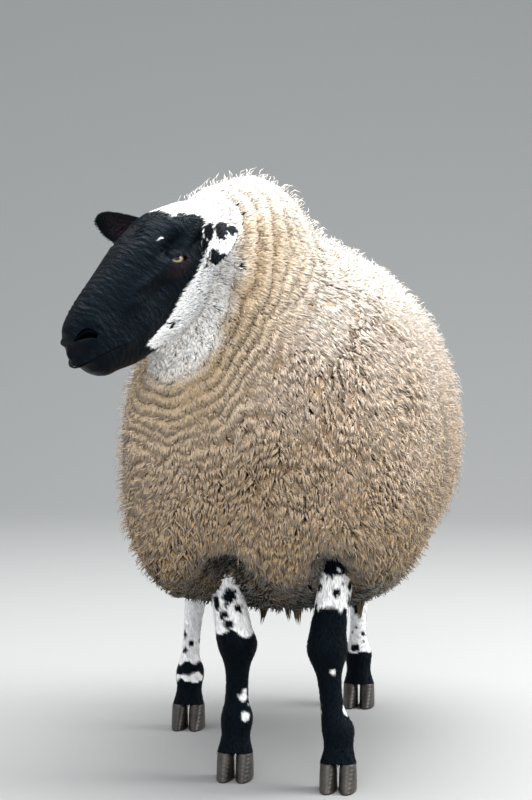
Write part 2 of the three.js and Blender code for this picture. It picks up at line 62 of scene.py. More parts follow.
MM = 0.001
X_AXIS, Y_AXIS, Z_AXIS = np.eye(3)
UPPER_BOXINESS = 0.98  # exponent of the trunk's ovals: 1 is an ellipse, less is squarer
LOWER_BOXINESS = 0.7
ROUNDNESS = 0.94  # the same for neck, head and legs
SAMPLES = 61  # along a middle line, where a place on it is looked up

POLL = MM * np.array([-125, -348, 832])  # top of the head between the ears
HEAD_HEADING = -43  # degrees to the left of straight ahead
HEAD_PITCH = -41
EYEBALL_RADIUS = 14.5 * MM
EYE_PLACE = MM * np.array([84, 45, -25])  # along the head, aside, above its top line
LID_HALVES = MM * np.array([18.5, 15.6, 16.4])  # of the closed lids: along, up, across
EYE_OPENING = MM * np.array([25, 8.5])  # length and height between the lids
GAZE = np.radians(15)  # how far the eyes look forward of straight aside
EYE_TILT = 32  # degrees that the opening's rear corner sinks below the head's own line
PUPIL_RISE = 0.17  # of its middle above the eyeball's, in radii
PUPIL_OVAL = (1.2, 1.8, 0)  # what distances along and up from its middle are multiplied by

# Trunk over the tips of the fleece: y, x of the middle, half width, top, widest level, bottom
TRUNK = MM * np.array([
    [-405, -22, 40, 560, 470, 400],
    [-385, -18, 128, 640, 466, 332],
    [-330, -12, 190, 726, 463, 268],
    [-240, -2, 226, 784, 460, 246],
    [-110, 0, 238, 792, 458, 236],
    [40, 0, 240, 780, 458, 236],
    [190, 0, 242, 772, 462, 242],
    [310, 2, 238, 764, 470, 266],
    [400, 4, 205, 740, 480, 310],
    [462, 4, 130, 680, 500, 372],
    [486, 4, 50, 590, 520, 450],
])
# Neck over the wool: middle x, y, z, half width, reach up, reach down, then heading and pitch in degrees
NECK = np.array([
    [0, -120, 520, 190, 200, 190, 0, 30],
    [-8, -200, 600, 160, 190, 190, -8, 35],
    [-38, -255, 680, 112, 176, 185, -20, 34],
    [-62, -290, 735, 94, 156, 165, -32, 26],
    [-88, -316, 762, 88, 108, 132, -41, 14],
    [-101, -326, 771, 78, 78, 100, -43, 2],
    [-109, -334, 772, 66, 60, 88, -43, 2],
]) * ([MM] * 6 + [1, 1])
TAIL_MIDDLE = MM * np.array([4, 474, 552])
TAIL_HALVES = MM * np.array([46, 42, 90])

# Head: place along it, top line, half width, widest level, underside
HEAD = MM * np.array([
    [-34, -34, 30, -60, -96],
    [-22, -15, 48, -52, -116],
    [8, 8, 57, -44, -126],
    [48, 27, 61, -36, -132],
    [86, 29, 60, -34, -134],
    [122, 30, 52, -36, -129],
    [160, 25, 46, -40, -120],
    [200, 20, 39, -44, -113],
    [232, 14, 36, -45, -100],
    [252, 8, 33, -44, -94],
    [262, 4, 29, -45, -86],
    [266, 0, 27, -44, -80],
    [268.5, -8, 25, -43, -75],
    [271, -17, 22, -42, -69],
    [275, -22, 18, -40, -60],
    [279, -26, 13, -38, -50],
    [281, -31, 7, -37, -44],
])
# Forms on both sides of the head: place along, aside and above, spread the same three ways, rise
HEAD_FORMS = {
    "brow": ([77, 54, -6], [26, 14, 12], 13),
    "socket": ([94, 60, -34], [22, 20, 15], -4),
    "pit before the eye": ([103, 53, -14], [12, 14, 8], -6),
    "tear groove": ([122, 50, -20], [16, 14, 6], -6.5),
    "tear groove's middle": ([150, 45, -17], [17, 12, 6], -5),
    "tear groove's end": ([173, 42, -27], [14, 12, 8], -5),
    "crest below the eye": ([126, 54, -42], [32, 14, 10], 6),
    "pouch below the eye": ([90, 59, -48], [13, 10, 7], 2.5),
    "cheek": ([112, 52, -84], [44, 22, 26], 6),
    "cheek hollow": ([180, 42, -66], [26, 16, 16], -4),
    "jaw muscle": ([92, 58, -92], [20, 18, 22], 2.5),
    "temple": ([44, 46, 6], [20, 12, 9], -3),
    "middle of the forehead": ([60, 0, 30], [30, 14, 14], 2.5),
    "bridge of the nose": ([150, 0, 26], [70, 12, 14], 2),
    "nostril wing": ([252, 28, -7], [14, 12, 9], 5),
    "nostril's rear": ([232, 36, -12], [9, 12, 9], -2.5),
    "nose front": ([262, 10, -6], [12, 18, 8], 2),
    "notch over the lip": ([270, 0, -18], [12, 34, 4], -4),
    "upper lip": ([264, 20, -34], [18, 16, 9], 4),
    "parting of the lip": ([281, 0, -32], [12, 2.5, 10], -3),
    "front of the mouth": ([277, 0, -46], [14, 40, 3.5], -6),
    "mouth corner": ([214, 38, -64], [18, 14, 8], -4),
    "lower lip": ([264, 14, -58], [14, 20, 7], 2),
    "chin": ([246, 0, -88], [20, 30, 13], 3),
}
WRINKLE_SPACING = 9 * MM  # across the forehead and down the nose
WRINKLE_HEIGHT = 1.7 * MM
# The nostril's slit: places along its course, with half width and half depth
NOSTRIL = MM * np.array([
    [271, 8, -20, 2, 7],
    [265, 15, -16, 4.6, 11],
    [256, 22, -14, 6.4, 14],
    [249, 28, -17, 6, 13],
    [245, 31, -26, 2.8, 9],
])
# The line between the lips: place along, level, half gape
MOUTH = MM * np.array([
    [208, -66, 0.15],
    [222, -61, 0.35],
    [244, -54, 0.5],
    [264, -48, 0.8],
    [292, -45, 1.2],
])
MOUTH_DEPTH = 5 * MM
MOUTH_REACH = 80 * MM  # of the cut that makes it, to either side

EAR_WIDTH = 54 * MM
EAR_THICKNESS = 5 * MM
EAR_ROOT = MM * np.array([24, 47, -23])
# The ear's leaf from root to tip: share of its length, share of the width, depth of the cup in millimetres
EAR_LEAF = np.array([
    [0, 0.5, 1],
    [0.14, 0.7, 6],
    [0.32, 0.94, 10],
    [0.52, 1, 9],
    [0.72, 0.86, 6],
    [0.88, 0.6, 3],
    [0.99, 0.12, 0],
])
# How each ear is held: the place its middle line bends towards, its tip, and the way its outside faces
EARS = {
    "left": {"side": 1, "bend": [20, 114, -12], "tip": [93, 144, -27], "outside": [0, 0.08, 1]},
    "right": {"side": -1, "bend": [27, -117, -21], "tip": [23, -179, -1], "outside": [-0.93, 0, -0.36]},
}

# Legs from the top of the hoof up: height, half width, reach forward, reach back
FORE_LEG = np.array([
    [40, 26, 17, 22], [62, 21, 17, 20], [88, 23, 21, 27], [118, 17, 17, 19], [160, 18, 18, 19],
    [196, 29, 27, 24], [228, 26, 26, 25], [280, 25, 30, 34], [340, 38, 48, 54], [400, 46, 62, 66],
])
HIND_LEG = np.array([
    [40, 25, 17, 22], [62, 20, 17, 20], [90, 22, 20, 26], [122, 14, 16, 19], [180, 15, 17, 21],
    [226, 20, 22, 28], [262, 23, 26, 34], [296, 22, 36, 34], [340, 34, 58, 52], [400, 50, 84, 80],
])
# The way each leg stands: x and y of its middle at those heights
FORE_STANCES = {
    "front_right": [[-59, -259], [-59, -253], [-58, -247], [-58, -246], [-57, -247],
                    [-57, -249], [-64, -248], [-72, -245], [-74, -240], [-80, -232]],
    "front_left": [[98, -321], [98, -315], [96, -308], [88, -304], [83, -300],
                   [80, -298], [81, -294], [88, -284], [92, -268], [90, -250]],
}
HIND_STANCES = {
    "hind_right": [[-188, 128], [-188, 137], [-188, 147], [-188, 155], [-185, 170],
                   [-181, 186], [-175, 198], [-166, 196], [-152, 184], [-135, 172]],
    "hind_left": [[70, 361], [69, 368], [68, 376], [67, 381], [68, 387],
                  [70, 393], [76, 396], [86, 384], [98, 356], [106, 324]],
}
# Rows of height, x, y, half width, reach forward, reach back
LEGS = {name: MM * np.column_stack([form[:, 0], stance, form[:, 1:]])
        for form, stances in ((FORE_LEG, FORE_STANCES), (HIND_LEG, HIND_STANCES))
        for name, stance in stances.items()}
DEWCLAW_APART, DEWCLAW_HEIGHT = 11 * MM, 76 * MM
DEWCLAW_HALVES = MM * np.array([7, 7, 12])

CLAW_WIDTH, CLEFT = 25 * MM, 3 * MM
# A claw from the sole up: height, reach to the toe, to the heel, share of the width
CLAW = np.array([
    [0, 36.5, 22.5, 0.46],
    [2.5, 38, 24, 0.5],
    [14, 31, 24.5, 0.5],
    [28, 23, 23, 0.49],
    [39.6, 17, 21, 0.46],
]) * [MM, MM, MM, 1]

# Locks that hang below the belly: x, y, height of the root, length, width
BELLY_LOCKS = MM * np.array([
    [-35, -150, 268, 62, 15],
    [-10, -120, 266, 48, 14],
    [8, -165, 268, 52, 12],
    [24, -140, 268, 64, 15],
    [60, -60, 262, 44, 14],
    [118, -205, 290, 66, 14],
    [-70, -60, 262, 46, 13],
    [30, 60, 262, 48, 15],
])
LOCK_WAVE = 5 * MM

# ---- Markings ------------------------------------------------------------------------------------

# Where the white of the neck gives way to the black of the face: degrees round the head, from its underside
# by its side to its top, and the place along the head
FACE_BORDER = np.array([
    [-90, 158], [-80, 166], [-70, 180], [-62, 188], [-57, 191], [-53, 182], [-51, 168], [-49, 144],
    [-46, 132], [-42.5, 124], [-33.5, 114], [-27, 102], [-23.5, 92], [-20, 82], [-16, 72], [-12, 61],
    [-6, 51], [6, 38], [18, 27], [30, 25], [44, 22], [50, 26], [54, 39], [66, 37], [76, 40], [84, 33],
    [90, 32],
])
FACE_LEVEL = -42 * MM  # above the top line, where those degrees are measured from
BORDER_WOBBLE = 3 * MM
# Black blots in the white of head and neck: along, aside, above, reach
HEAD_BLOTS = MM * np.array([
    [29, 38, 10, 6], [33, 43, 6, 5], [24, 43, 4, 4], [36, -36, 12, 6], [68, 60, -66, 4], [104, 57, -82, 2.5],
    [143, 38, -96, 9], [17, 48, -6, 10], [20, 51, -13, 11], [24, 52, -22, 11], [30, 58, -28, 10],
    [37, 60, -41, 10], [40, 60, -49, 8], [53, 59, -62, 5],
])
# White flecks in the black of the face
HEAD_FLECKS = MM * np.array([
    [78, 45, 12, 2.2], [81, 44.5, 12, 2.2], [84, 44, 12, 1.6], [178, 40, -19, 0.8], [182, 40, -22, 0.8],
    [186, 39, -26, 0.8], [272, 9, -27, 1.3], [266, 20, -26, 1.0],
])
# Black blots on the outside of the left ear: along the head, aside less a slant, and their reach both ways
EAR_SLANT = 0.8
EAR_BLOTS = MM * np.array([
    [38, 59, 19, 12], [31, 85, 20, 12], [25, 100, 13, 7], [86, 73, 13, 16], [73.5, 69, 4, 5], [75, 88, 3, 3],
    [19, 56, 3, 12], [46, 89, 6, 4], [44, 80, 6, 3], [30, 33, 24, 11], [60, 47, 12, 11],
])
# Black blots on the legs: x, y, z, reach. The large ones high on the fore legs are partly black hair and partly
# painted shade where the legs leave the fleece
LEG_BLOTS_AND_SHADE = MM * np.array([
    [-67, -273, 269, 10], [-48, -257, 280, 8], [-53, -269, 253, 6], [-74, -272, 243, 8], [-67, -273, 229, 8],
    [-86, -268, 262, 9], [-84, -262, 285, 12], [-50, -262, 300, 10],
    [-196, 142, 125, 5], [-199, 150, 150, 6], [-176, 158, 137, 6], [-180, 175, 190, 8],
    [68, 369, 168, 10], [63, 360, 100, 7], [80, 365, 120, 6], [62, 392, 150, 8], [84, 385, 205, 9],
    [66, -300, 262, 5], [108, -292, 268, 6], [-62, -285, 330, 24], [-80, -270, 312, 16], [88, -315, 335, 30],
    [76, -300, 308, 9],
])
# White flecks in the black of the legs
LEG_FLECKS = MM * np.array([
    [-43, -262, 120, 8], [-44, -262, 92, 7], [-45, -250, 108, 6], [66, -304, 118, 7], [108, -308, 112, 8],
    [66, -306, 98, 5], [90, -318, 170, 3], [110, -300, 94, 6],
])
# Height at which each shank's white gives way to black below, and how far that line rises to the front
SHANK_BORDER = {"front_right": (214, 2), "front_left": (240, 18), "hind_right": (84, 4), "hind_left": (92, 3)}
HIND_BAND = MM * np.array([87, 104])  # a black ring round the right hind pastern, above a white one
# Bare skin round the eye and on the nose: place on the head, and spread
BARE_SPOTS = ((EYE_PLACE + MM * np.array([6, 12, -8]), MM * np.array([24, 16, 17])),
              (MM * np.array([268, 6, -24]), MM * np.array([16, 22, 16])))
# Dark specks in the neck's wool: x, y, z
WOOL_SPECKS = MM * np.array([
    [-41, -355, 836], [-35, -358, 824], [-33, -378, 747], [-31, -380, 745], [-97, -330, 709],
])

# ---- Fleece --------------------------------------------------------------------------------------

CORE_DEPTH = 35 * MM  # from the tips of the full wool down to the skin
COLLAR_DEPTH = 9 * MM  # the same in the short wool behind the head
TAIL_DEPTH = 16 * MM
# A line in the head, as places on it. The wool is told by its distance from there
THROAT = MM * np.array([[23, 0, -59], [138, 0, -92]])
WHITE_REACH = 80 * MM  # short and white within this,
COLLAR_REACH = MM * np.array([88, 235])  # then longer between these,
LOOSE_REACH = MM * np.array([115, 230])  # and its folds loosen to rows between these
ROW_SPACING = 16.5 * MM  # between the folds round the neck, and the rows of wool that follow them
FOLD_HEIGHT = 5 * MM
ROW_HEIGHT = 6.5 * MM
BODY_CREASE = 50 * MM  # radius to which creases between trunk, neck and tail are filled
HEAD_CREASE = 20 * MM  # the same between neck and head
# Wool darkened round the tops of the fore legs and between them, partly dirt and partly painted shade in the
# creases where the legs leave the body: place and reach
FORE_LEG_DIRT_AND_SHADE = MM * np.array([[-64, -305, 336, 74], [88, -308, 340, 70], [-30, -250, 262, 70], [60, -240, 262, 60]])
# Hollows and swellings of the fleece: place, spread, and how its middle moves
BODY_FORMS = MM * np.array([
    [-62, -350, 285, 40, 90, 48, 0, 48, 52],
    [88, -350, 290, 30, 80, 46, 0, 34, 36],
    [-176, 40, 262, 60, 90, 36, 4, 0, 14],
    [96, 300, 276, 60, 90, 36, 0, 0, 14],
    [-135, -285, 300, 50, 70, 40, -6, -8, -5],
    [235, -130, 440, 60, 34, 110, -24, 0, 0],
    [225, 60, 325, 80, 230, 72, -22, 0, 6],
    [15, -330, 262, 60, 80, 30, 0, 6, 10],
])
SHORT_WOOL_SPACING = 2.2 * MM  # of the tufts behind the face
ELBOW = 0.6  # place along a lock where it turns from standing up to lying along the coat
BAKE_PATCH = 0.003  # of a tuft in the map that its colour is baked to

# ---- Stage ----------------------------------------------------------------------------------------

FLOOR_HALF_WIDTH, FLOOR_FRONT, BACKDROP_TOP = 11, -9, 9
SWEEP_START, SWEEP_RADIUS = 3.5, 3.0  # where the backdrop leaves the floor, and how it bends
PAPER, SKY = (0.33, 0.33, 0.325, 1), (0.9, 0.95, 1.0, 1)
# Name, place, side in metres, power in watts
LIGHTS = (
    ("overhead", (0.3, 0.5, 3.2), 3.0, 190),
    ("side", (3.2, 0.3, 2.4), 2.4, 150),
    ("front", (0.2, -3.9, 2.6), 2.4, 100),
)
LIGHTS_AIM = 0.5  # height on the sheep
CAMERA_HEADING = 7  # degrees to the left of looking along +Y
CAMERA_DISTANCE, CAMERA_ASIDE, CAMERA_HEIGHT = 3.8, 0.045, 0.743
CAMERA_DIP = 3.04  # degrees below level
CAMERA_LENS = 110.25  # millimetres, for a sensor of 36 on the long side

# ---- Mathematics ---------------------------------------------------------------------------------

def unit(vectors):
    """Vectors divided by their lengths."""
    return vectors / np.maximum(np.linalg.norm(vectors, axis=-1, keepdims=True), 1e-12)


def ease(values, low, high):
    """0 below low, 1 above high, and 3 t squared less 2 t cubed in between."""
    share = np.clip((values - low) / (high - low), 0, 1)
    return share * share * (3 - 2 * share)


def mixed(first, second, share):
    """The first values where share is 0, the second where it is 1."""
    return first + (second - first) * share


def curve_rows(table, count):
    """Rows between the rows of a table: a Catmull-Rom curve through each of its columns."""
    places = np.linspace(0, len(table) - 1, count)
    first = np.minimum(places.astype(int), len(table) - 2)
    t = (places - first)[:, None]
    before, start, end = table[np.maximum(first - 1, 0)], table[first], table[first + 1]
    after = table[np.minimum(first + 2, len(table) - 1)]
    slope_in, slope_out, rise = (end - before) / 2, (after - start) / 2, end - start
    bend = 3 * rise - 2 * slope_in - slope_out
    return start + t * (slope_in + t * (bend + t * (slope_in + slope_out - 2 * rise)))


def looked_up(table, values):
    """The table's other columns, on the curve through its rows, where its first column has the values."""
    dense = curve_rows(table, SAMPLES)
    return [np.interp(values, dense[:, 0], column) for column in dense.T[1:]]


def bent_line(root, bend, tip, t):
    """The quadratic curve from a root, towards its bend, to its tip at places t, and its unit heading."""
    middle = (1 - t) ** 2 * root + 2 * t * (1 - t) * bend + t * t * tip
    return middle, unit((1 - t) * (bend - root) + t * (tip - bend))


def axes_facing(heading, pitch):
    """Unit vectors forward, left and up of what faces a heading and a pitch in degrees."""
    h, p = np.radians(heading), np.radians(pitch)
    forward = np.stack([np.sin(h) * np.cos(p), -np.cos(h) * np.cos(p), np.sin(p)], -1)
    left = np.stack([np.cos(h), np.sin(h), np.zeros_like(h)], -1)
    return forward, left, np.cross(forward, left)


HEAD_AXES = np.stack(axes_facing(np.float64(HEAD_HEADING), np.float64(HEAD_PITCH)))  # forward, left, up


def on_head(places):
    """Points from their places along the head, to its left and above its top line."""
    return POLL + np.asarray(places) @ HEAD_AXES


def head_places(points):
    """The places along, to the left of and above the head's top line of points."""
    return (points - POLL) @ HEAD_AXES.T


def on_left_side(places):
    """Places on the head, those on its right moved across to its left."""
    return places * [1, 0, 1] + np.abs(places) * [0, 1, 0]


def ripples(points, size, seed, waves=14):
    """Smooth noise of about -1 to 1: the sum of sine waves of about one length in random directions."""
    rng = np.random.default_rng(seed)
    directions = unit(rng.normal(size=(waves, 3))) * rng.uniform(0.7, 1.4, (waves, 1)) * 2 * np.pi / size
    return np.sin(points @ directions.T + rng.uniform(0, 2 * np.pi, waves)).sum(1) / np.sqrt(waves)


def flattened(vectors, normals):
    """The unit directions of vectors within the surface that has those normals."""
    return unit(vectors - normals * (vectors * normals).sum(-1, keepdims=True))


def linear(colour):
    """A display colour as the linear light that shaders and colour attributes hold."""
    colour = np.asarray(colour, float)
    return np.where(colour <= 0.04045, colour / 12.92, ((colour + 0.055) / 1.055) ** 2.4)


# ---- Surfaces ------------------------------------------------------------------------------------

def ovals(half, above, below, sides, power_above=ROUNDNESS, power_below=ROUNDNESS):
    """An oval for each row: powers of the cosine and sine of the angle, times the half width and a reach that
    differs above and below the widest level."""
    angles = 2 * np.pi * (np.arange(sides) + 0.5) / sides
    cosine, sine = np.cos(angles), np.sin(angles)
    power = np.where(sine > 0, power_above, power_below)
    aside = half[:, None] * np.sign(cosine) * np.abs(cosine) ** power
    reach = np.where(sine > 0, above[:, None], below[:, None])
    return aside, reach * np.sign(sine) * np.abs(sine) ** power


def rings_about(centres, lefts, ups, aside, rise):
    """Ring points: a centre for each row, moved along the row's left and up by the oval's two coordinates."""
    return (centres[:, None] + np.reshape(lefts, (-1, 1, 3)) * aside[..., None]
            + np.reshape(ups, (-1, 1, 3)) * rise[..., None])


def outward(vertices, triangles):
    """The triangles, turned if the volume that they enclose comes out negative."""
    a, b, c = (vertices[triangles[:, i]] for i in range(3))
    return triangles if (a * np.cross(b, c)).sum() > 0 else triangles[:, ::-1]


def ring_cells(rings, sides):
    """Ring and side numbers of the cells between rings of points, and two triangles for each cell."""
    ring, side = np.mgrid[:rings - 1, :sides]
    a, b = ring * sides + side, ring * sides + (side + 1) % sides
    return ring, side, np.stack([a, b, b + sides, a, b + sides, a + sides], -1).reshape(-1, 3)


def closed_tube(rings):
    """Vertices and triangles over a grid of rings: two a cell, and a fan to the middle of each end."""
    count, sides = rings.shape[:2]
    vertices = np.concatenate([rings.reshape(-1, 3), rings[[0, -1]].mean(1)])
    cells = ring_cells(count, sides)[2]
    side = np.arange(sides)
    following = (side + 1) % sides
    last = (count - 1) * sides
    start = np.stack([np.full(sides, count * sides), following, side], -1)
    end = np.stack([np.full(sides, count * sides + 1), last + side, last + following], -1)
    return vertices, outward(vertices, np.concatenate([cells, start, end]))


def ellipsoid(centre, halves, axes, columns=48, rows=32):
    """Vertices and triangles of an ellipsoid: rings whose size is the sine of the angle from a pole."""
    angles = np.pi * np.arange(1, rows) / rows
    size = np.sin(angles)
    aside, rise = ovals(halves[0] * size, halves[1] * size, halves[1] * size, columns, 1, 1)
    centres = centre - np.cos(angles)[:, None] * halves[2] * axes[2]
    return closed_tube(rings_about(centres, axes[0], axes[1], aside, rise))


def joined(*surfaces):
    """Several surfaces as one list of vertices and one of triangles."""
    starts = np.cumsum([0] + [len(vertices) for vertices, _ in surfaces])
    return (np.concatenate([vertices for vertices, _ in surfaces]),
            np.concatenate([triangles + start for (_, triangles), start in zip(surfaces, starts)]))


# ---- Meshes in the scene -------------------------------------------------------------------------

def new_object(name, vertices, triangles, materials=(), region=0):
    """An object of a smooth triangle mesh, whose faces all take one of its materials."""
    mesh = bpy.data.meshes.new(name)
    mesh.vertices.add(len(vertices))
    mesh.vertices.foreach_set("co", np.asarray(vertices, np.float32).ravel())
    mesh.loops.add(triangles.size)
    mesh.loops.foreach_set("vertex_index", triangles.astype(np.int32).ravel())
    mesh.polygons.add(len(triangles))
    mesh.polygons.foreach_set("loop_start", np.arange(0, triangles.size, 3, dtype=np.int32))
    for finish in materials:
        mesh.materials.append(finish)
    mesh.polygons.foreach_set("material_index", np.full(len(triangles), region, np.int32))
    mesh.polygons.foreach_set("use_smooth", np.ones(len(triangles), bool))
    mesh.update(calc_edges=True)
    piece = bpy.data.objects.new(name, mesh)
    bpy.context.scene.collection.objects.link(piece)
    return piece


def apply_modifiers(piece):
    """Gives the object the mesh that its modifiers make."""
    bpy.context.view_layer.update()
    evaluated = piece.evaluated_get(bpy.context.evaluated_depsgraph_get())
    mesh = bpy.data.meshes.new_from_object(evaluated)
    piece.modifiers.clear()
    piece.data = mesh


def combine(piece, others, operation):
    """Joins the other closed meshes to the piece, or cuts them out of it, and removes them."""
    for other in others:
        boolean = piece.modifiers.new(operation, "BOOLEAN")
        boolean.object, boolean.operation, boolean.solver = other, operation, "MANIFOLD"
    apply_modifiers(piece)
    for other in others:
        bpy.data.objects.remove(other)


def mesh_arrays(mesh):
    """Vertices, normals and triangles of a mesh, with the material number of each triangle."""
    mesh.calc_loop_triangles()
    vertices = np.empty(len(mesh.vertices) * 3, np.float32)
    normals = np.empty_like(vertices)
    triangles = np.empty(len(mesh.loop_triangles) * 3, np.int32)
    regions = np.empty(len(mesh.loop_triangles), np.int32)
    mesh.vertices.foreach_get("co", vertices)
    mesh.vertex_normals.foreach_get("vector", normals)
    mesh.loop_triangles.foreach_get("vertices", triangles)
    mesh.loop_triangles.foreach_get("material_index", regions)
    return (vertices.reshape(-1, 3).astype(float), normals.reshape(-1, 3).astype(float),
            triangles.reshape(-1, 3), regions)


def set_colours(mesh, name, colours):
    """Stores a linear colour for each vertex."""
    attribute = mesh.attributes.new(name, "FLOAT_COLOR", "POINT")
    values = np.ones((len(colours), 4), np.float32)
    values[:, :3] = colours
    attribute.data.foreach_set("color", values.ravel())


def set_numbers(mesh, name, numbers):
    """Stores a number for each vertex."""
    mesh.attributes.new(name, "FLOAT", "POINT").data.foreach_set("value", np.asarray(numbers, np.float32))


def frame_origin():
    """Where the sheep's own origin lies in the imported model's frame, from the middle of the left eyeball."""
    low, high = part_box("eye_left")
    return (np.array(low) + np.array(high)) / 2 - on_head(EYE_PLACE)


def finish_piece(piece, slot, *nodes):
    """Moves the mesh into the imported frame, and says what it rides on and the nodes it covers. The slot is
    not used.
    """
    piece.data.transform(Matrix.Translation(Vector(frame_origin())))
    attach(piece, "root")
    if nodes:
        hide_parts(*nodes)


# ---- Tufts and locks -----------------------------------------------------------------------------

def tuft_pattern(rings, sides=3):
    """Triangles of one tuft whose vertices are rings of sides, then its tip, and each corner's place round it
    and along it for the bake map."""
    ring, side, cells = ring_cells(rings, sides)
    left, right, low, high = side / sides, (side + 1) / sides, ring / rings, (ring + 1) / rings
    cell_places = np.stack([left, low, right, low, right, high, left, low, right, high, left, high], -1)
    edge = np.arange(sides)
    last = (rings - 1) * sides
    tip = np.stack([last + edge, last + (edge + 1) % sides, np.full(sides, rings * sides)], -1)
    left, middle, right = edge / sides, (edge + 0.5) / sides, (edge + 1) / sides
    height = np.full(sides, (rings - 1) / rings)
    tip_places = np.stack([left, height, right, height, middle, np.ones(sides)], -1)
    root = np.array([[0, i + 1, i] for i in range(1, sides - 1)])
    places = [part.reshape(-1, 3, 2) for part in (cell_places, tip_places, np.zeros(6 * len(root)))]
    return np.concatenate([cells, tip, root]), np.concatenate(places)


def tufts(name, roots, bends, tips, ways_out, widths, colours, unwrapped, finish, rings=(0.0, 0.5),
          shares=(1.0, 0.8), shades=(0.9, 0.95), flatness=0.6, roll=0.0):
    """A mesh of many tapered tufts. The middle line of each is the quadratic curve from its root, towards its
    bend, to its tip. At places along it stand rings of three points, of a share of its width, flatter one way
    than the other. Each ring has a shade of the tip's colour; shades below 1 darken the rings towards the root:
    painted shade among the tufts, and in the fleece also its yellower inner wool. The map gives each tuft a
    patch at its root's place."""
    count, sides, levels = len(roots), 3, len(shares)
    t = np.broadcast_to(np.asarray(rings), (count, levels))[..., None]
    middle, heading = bent_line(roots[:, None], bends[:, None], tips[:, None], t)
    across = unit(np.cross(heading, ways_out[:, None]))
    flat = np.cross(heading, across)
    angles = (np.broadcast_to(roll, count)[:, None] + 2 * np.pi * np.arange(sides) / sides)[:, None, :, None]
    size = (widths[:, None] / 2 * np.array(shares))[..., None, None]
    around = np.cos(angles) * across[:, :, None] + flatness * np.sin(angles) * flat[:, :, None]
    points = middle[:, :, None] + size * around
    vertices = np.concatenate([points.reshape(count, -1, 3), tips[:, None]], 1)
    triangles, places = tuft_pattern(levels, sides)
    numbered = triangles + vertices.shape[1] * np.arange(count)[:, None, None]
    piece = new_object(name, vertices.reshape(-1, 3), numbered.reshape(-1, 3), [finish])
    shade = np.ones((levels, sides, 3)) * np.reshape(shades, (levels, 1, -1))
    shade = np.concatenate([shade.reshape(-1, 3), np.ones((1, 3))])
    set_colours(piece.data, "tint", (colours[:, None] * shade).reshape(-1, 3))
    patches = unwrapped[:, None, None] + BAKE_PATCH * (places - 0.5)
    layer = piece.data.uv_layers.new(name="OFBake")
    layer.uv.foreach_set("vector", patches.astype(np.float32).ravel())
    return piece


def scatter(vertices, triangles, spacing, rng, keep=None):
    """Random places on a surface about a spacing apart: triangle numbers and the shares of their corners. The
    spacing may differ from vertex to vertex; the places are drawn evenly along the running sum of area over
    spacing squared."""
    corners = vertices[triangles]
    area = np.linalg.norm(np.cross(corners[:, 1] - corners[:, 0], corners[:, 2] - corners[:, 0]), axis=1) / 2
    spacing = np.broadcast_to(spacing, len(vertices))[triangles].mean(1)
    weight = area / spacing ** 2 * (1 if keep is None else keep)
    total = np.cumsum(weight)
    count = int(total[-1])
    chosen = np.searchsorted(total, (np.arange(count) + rng.random(count)) / count * total[-1])
    chosen = np.minimum(chosen, len(triangles) - 1)
    u, v = rng.random((2, count))
    over = u + v > 1
    u, v = np.where(over, 1 - u, u), np.where(over, 1 - v, v)
    return chosen, np.stack([1 - u - v, u, v], -1)


def at_places(values, triangles, chosen, shares):
    """Values of the vertices, blended at scattered places."""
    return (values[triangles[chosen]] * shares.reshape(*shares.shape, *[1] * (values.ndim - 1))).sum(1)


def places_on(surface, spacing, rng, keep=None):
    """Random places on a surface about a spacing apart, and the unit normals there."""
    vertices, normals, triangles = surface[:3]
    picked = triangles, *scatter(vertices, triangles, spacing, rng, keep)
    return at_places(vertices, *picked), unit(at_places(normals, *picked))


def thinned(points, reach, rng):
    """Numbers of points left when, in each cell of four shifted grids in turn, only one point may stay."""
    left = rng.permutation(len(points))
    for shift in ([0, 0, 0], [0.5, 0.5, 0.5], [0.5, 0, 0.25], [0, 0.5, 0.75]):
        cells = np.floor(points[left] / reach + shift).astype(np.int64)
        keys = (cells[:, 0] * 73856093) ^ (cells[:, 1] * 19349663) ^ (cells[:, 2] * 83492791)
        left = left[np.sort(np.unique(keys, return_index=True)[1])]
    return left


def nearest(points, centres, lies, stretch):
    """For each point the nearest centre, where distances along the centre's own lie count stretch times."""
    extra = stretch ** 2 - 1
    along = (centres * lies).sum(1)
    best = np.empty(len(points), int)
    for start in range(0, len(points), 4000):
        block = points[start:start + 4000].astype(np.float32)
        distance = (centres ** 2).sum(1) - 2 * block @ centres.T.astype(np.float32)
        distance += extra * (block @ lies.T.astype(np.float32) - along) ** 2
        best[start:start + 4000] = distance.argmin(1)
    return best


def filled(places):
    """Places of an unwrap, stretched to fill the map with a small rim."""
    low, high = places.min(0), places.max(0)
    return 0.01 + 0.98 * (places - low) / np.maximum(high - low, 1e-9)


# ---- Body, neck and tail under the fleece --------------------------------------------------------

def trunk_surface(rows=110, sides=120):
    """The trunk over the tips: ovals across the body, boxier below than above."""
    y, x, half, top, widest, bottom = curve_rows(TRUNK, rows).T
    aside, rise = ovals(half, top - widest, widest - bottom, sides, UPPER_BOXINESS, LOWER_BOXINESS)
    return closed_tube(rings_about(np.stack([x, y, widest], -1), X_AXIS, Z_AXIS, aside, rise))


def neck_surface(rows=60, sides=96):
    """The neck over its wool: ovals that turn along its middle line."""
    table = curve_rows(NECK, rows)
    _, left, up = axes_facing(table[:, 6], table[:, 7])
    aside, rise = ovals(table[:, 3], table[:, 4], table[:, 5], sides)
    return closed_tube(rings_about(table[:, :3], left, up, aside, rise))


def throat_distance(points):
    """Distance of points from the line in the head that runs from the neck to the throat."""
    start, end = on_head(THROAT)
    line = end - start
    share = np.clip((points - start) @ line / (line @ line), 0, 1)
    return np.linalg.norm(points - start - share[:, None] * line, axis=1)


def coat_depth(points):
    """Depth of the wool: short behind the head and on the tail, full on the body."""
    depth = mixed(COLLAR_DEPTH, CORE_DEPTH, ease(throat_distance(points), *COLLAR_REACH))
    tail = np.linalg.norm((points - TAIL_MIDDLE) / TAIL_HALVES, axis=1)
    return mixed(TAIL_DEPTH, depth, ease(tail, 0.9, 1.7))


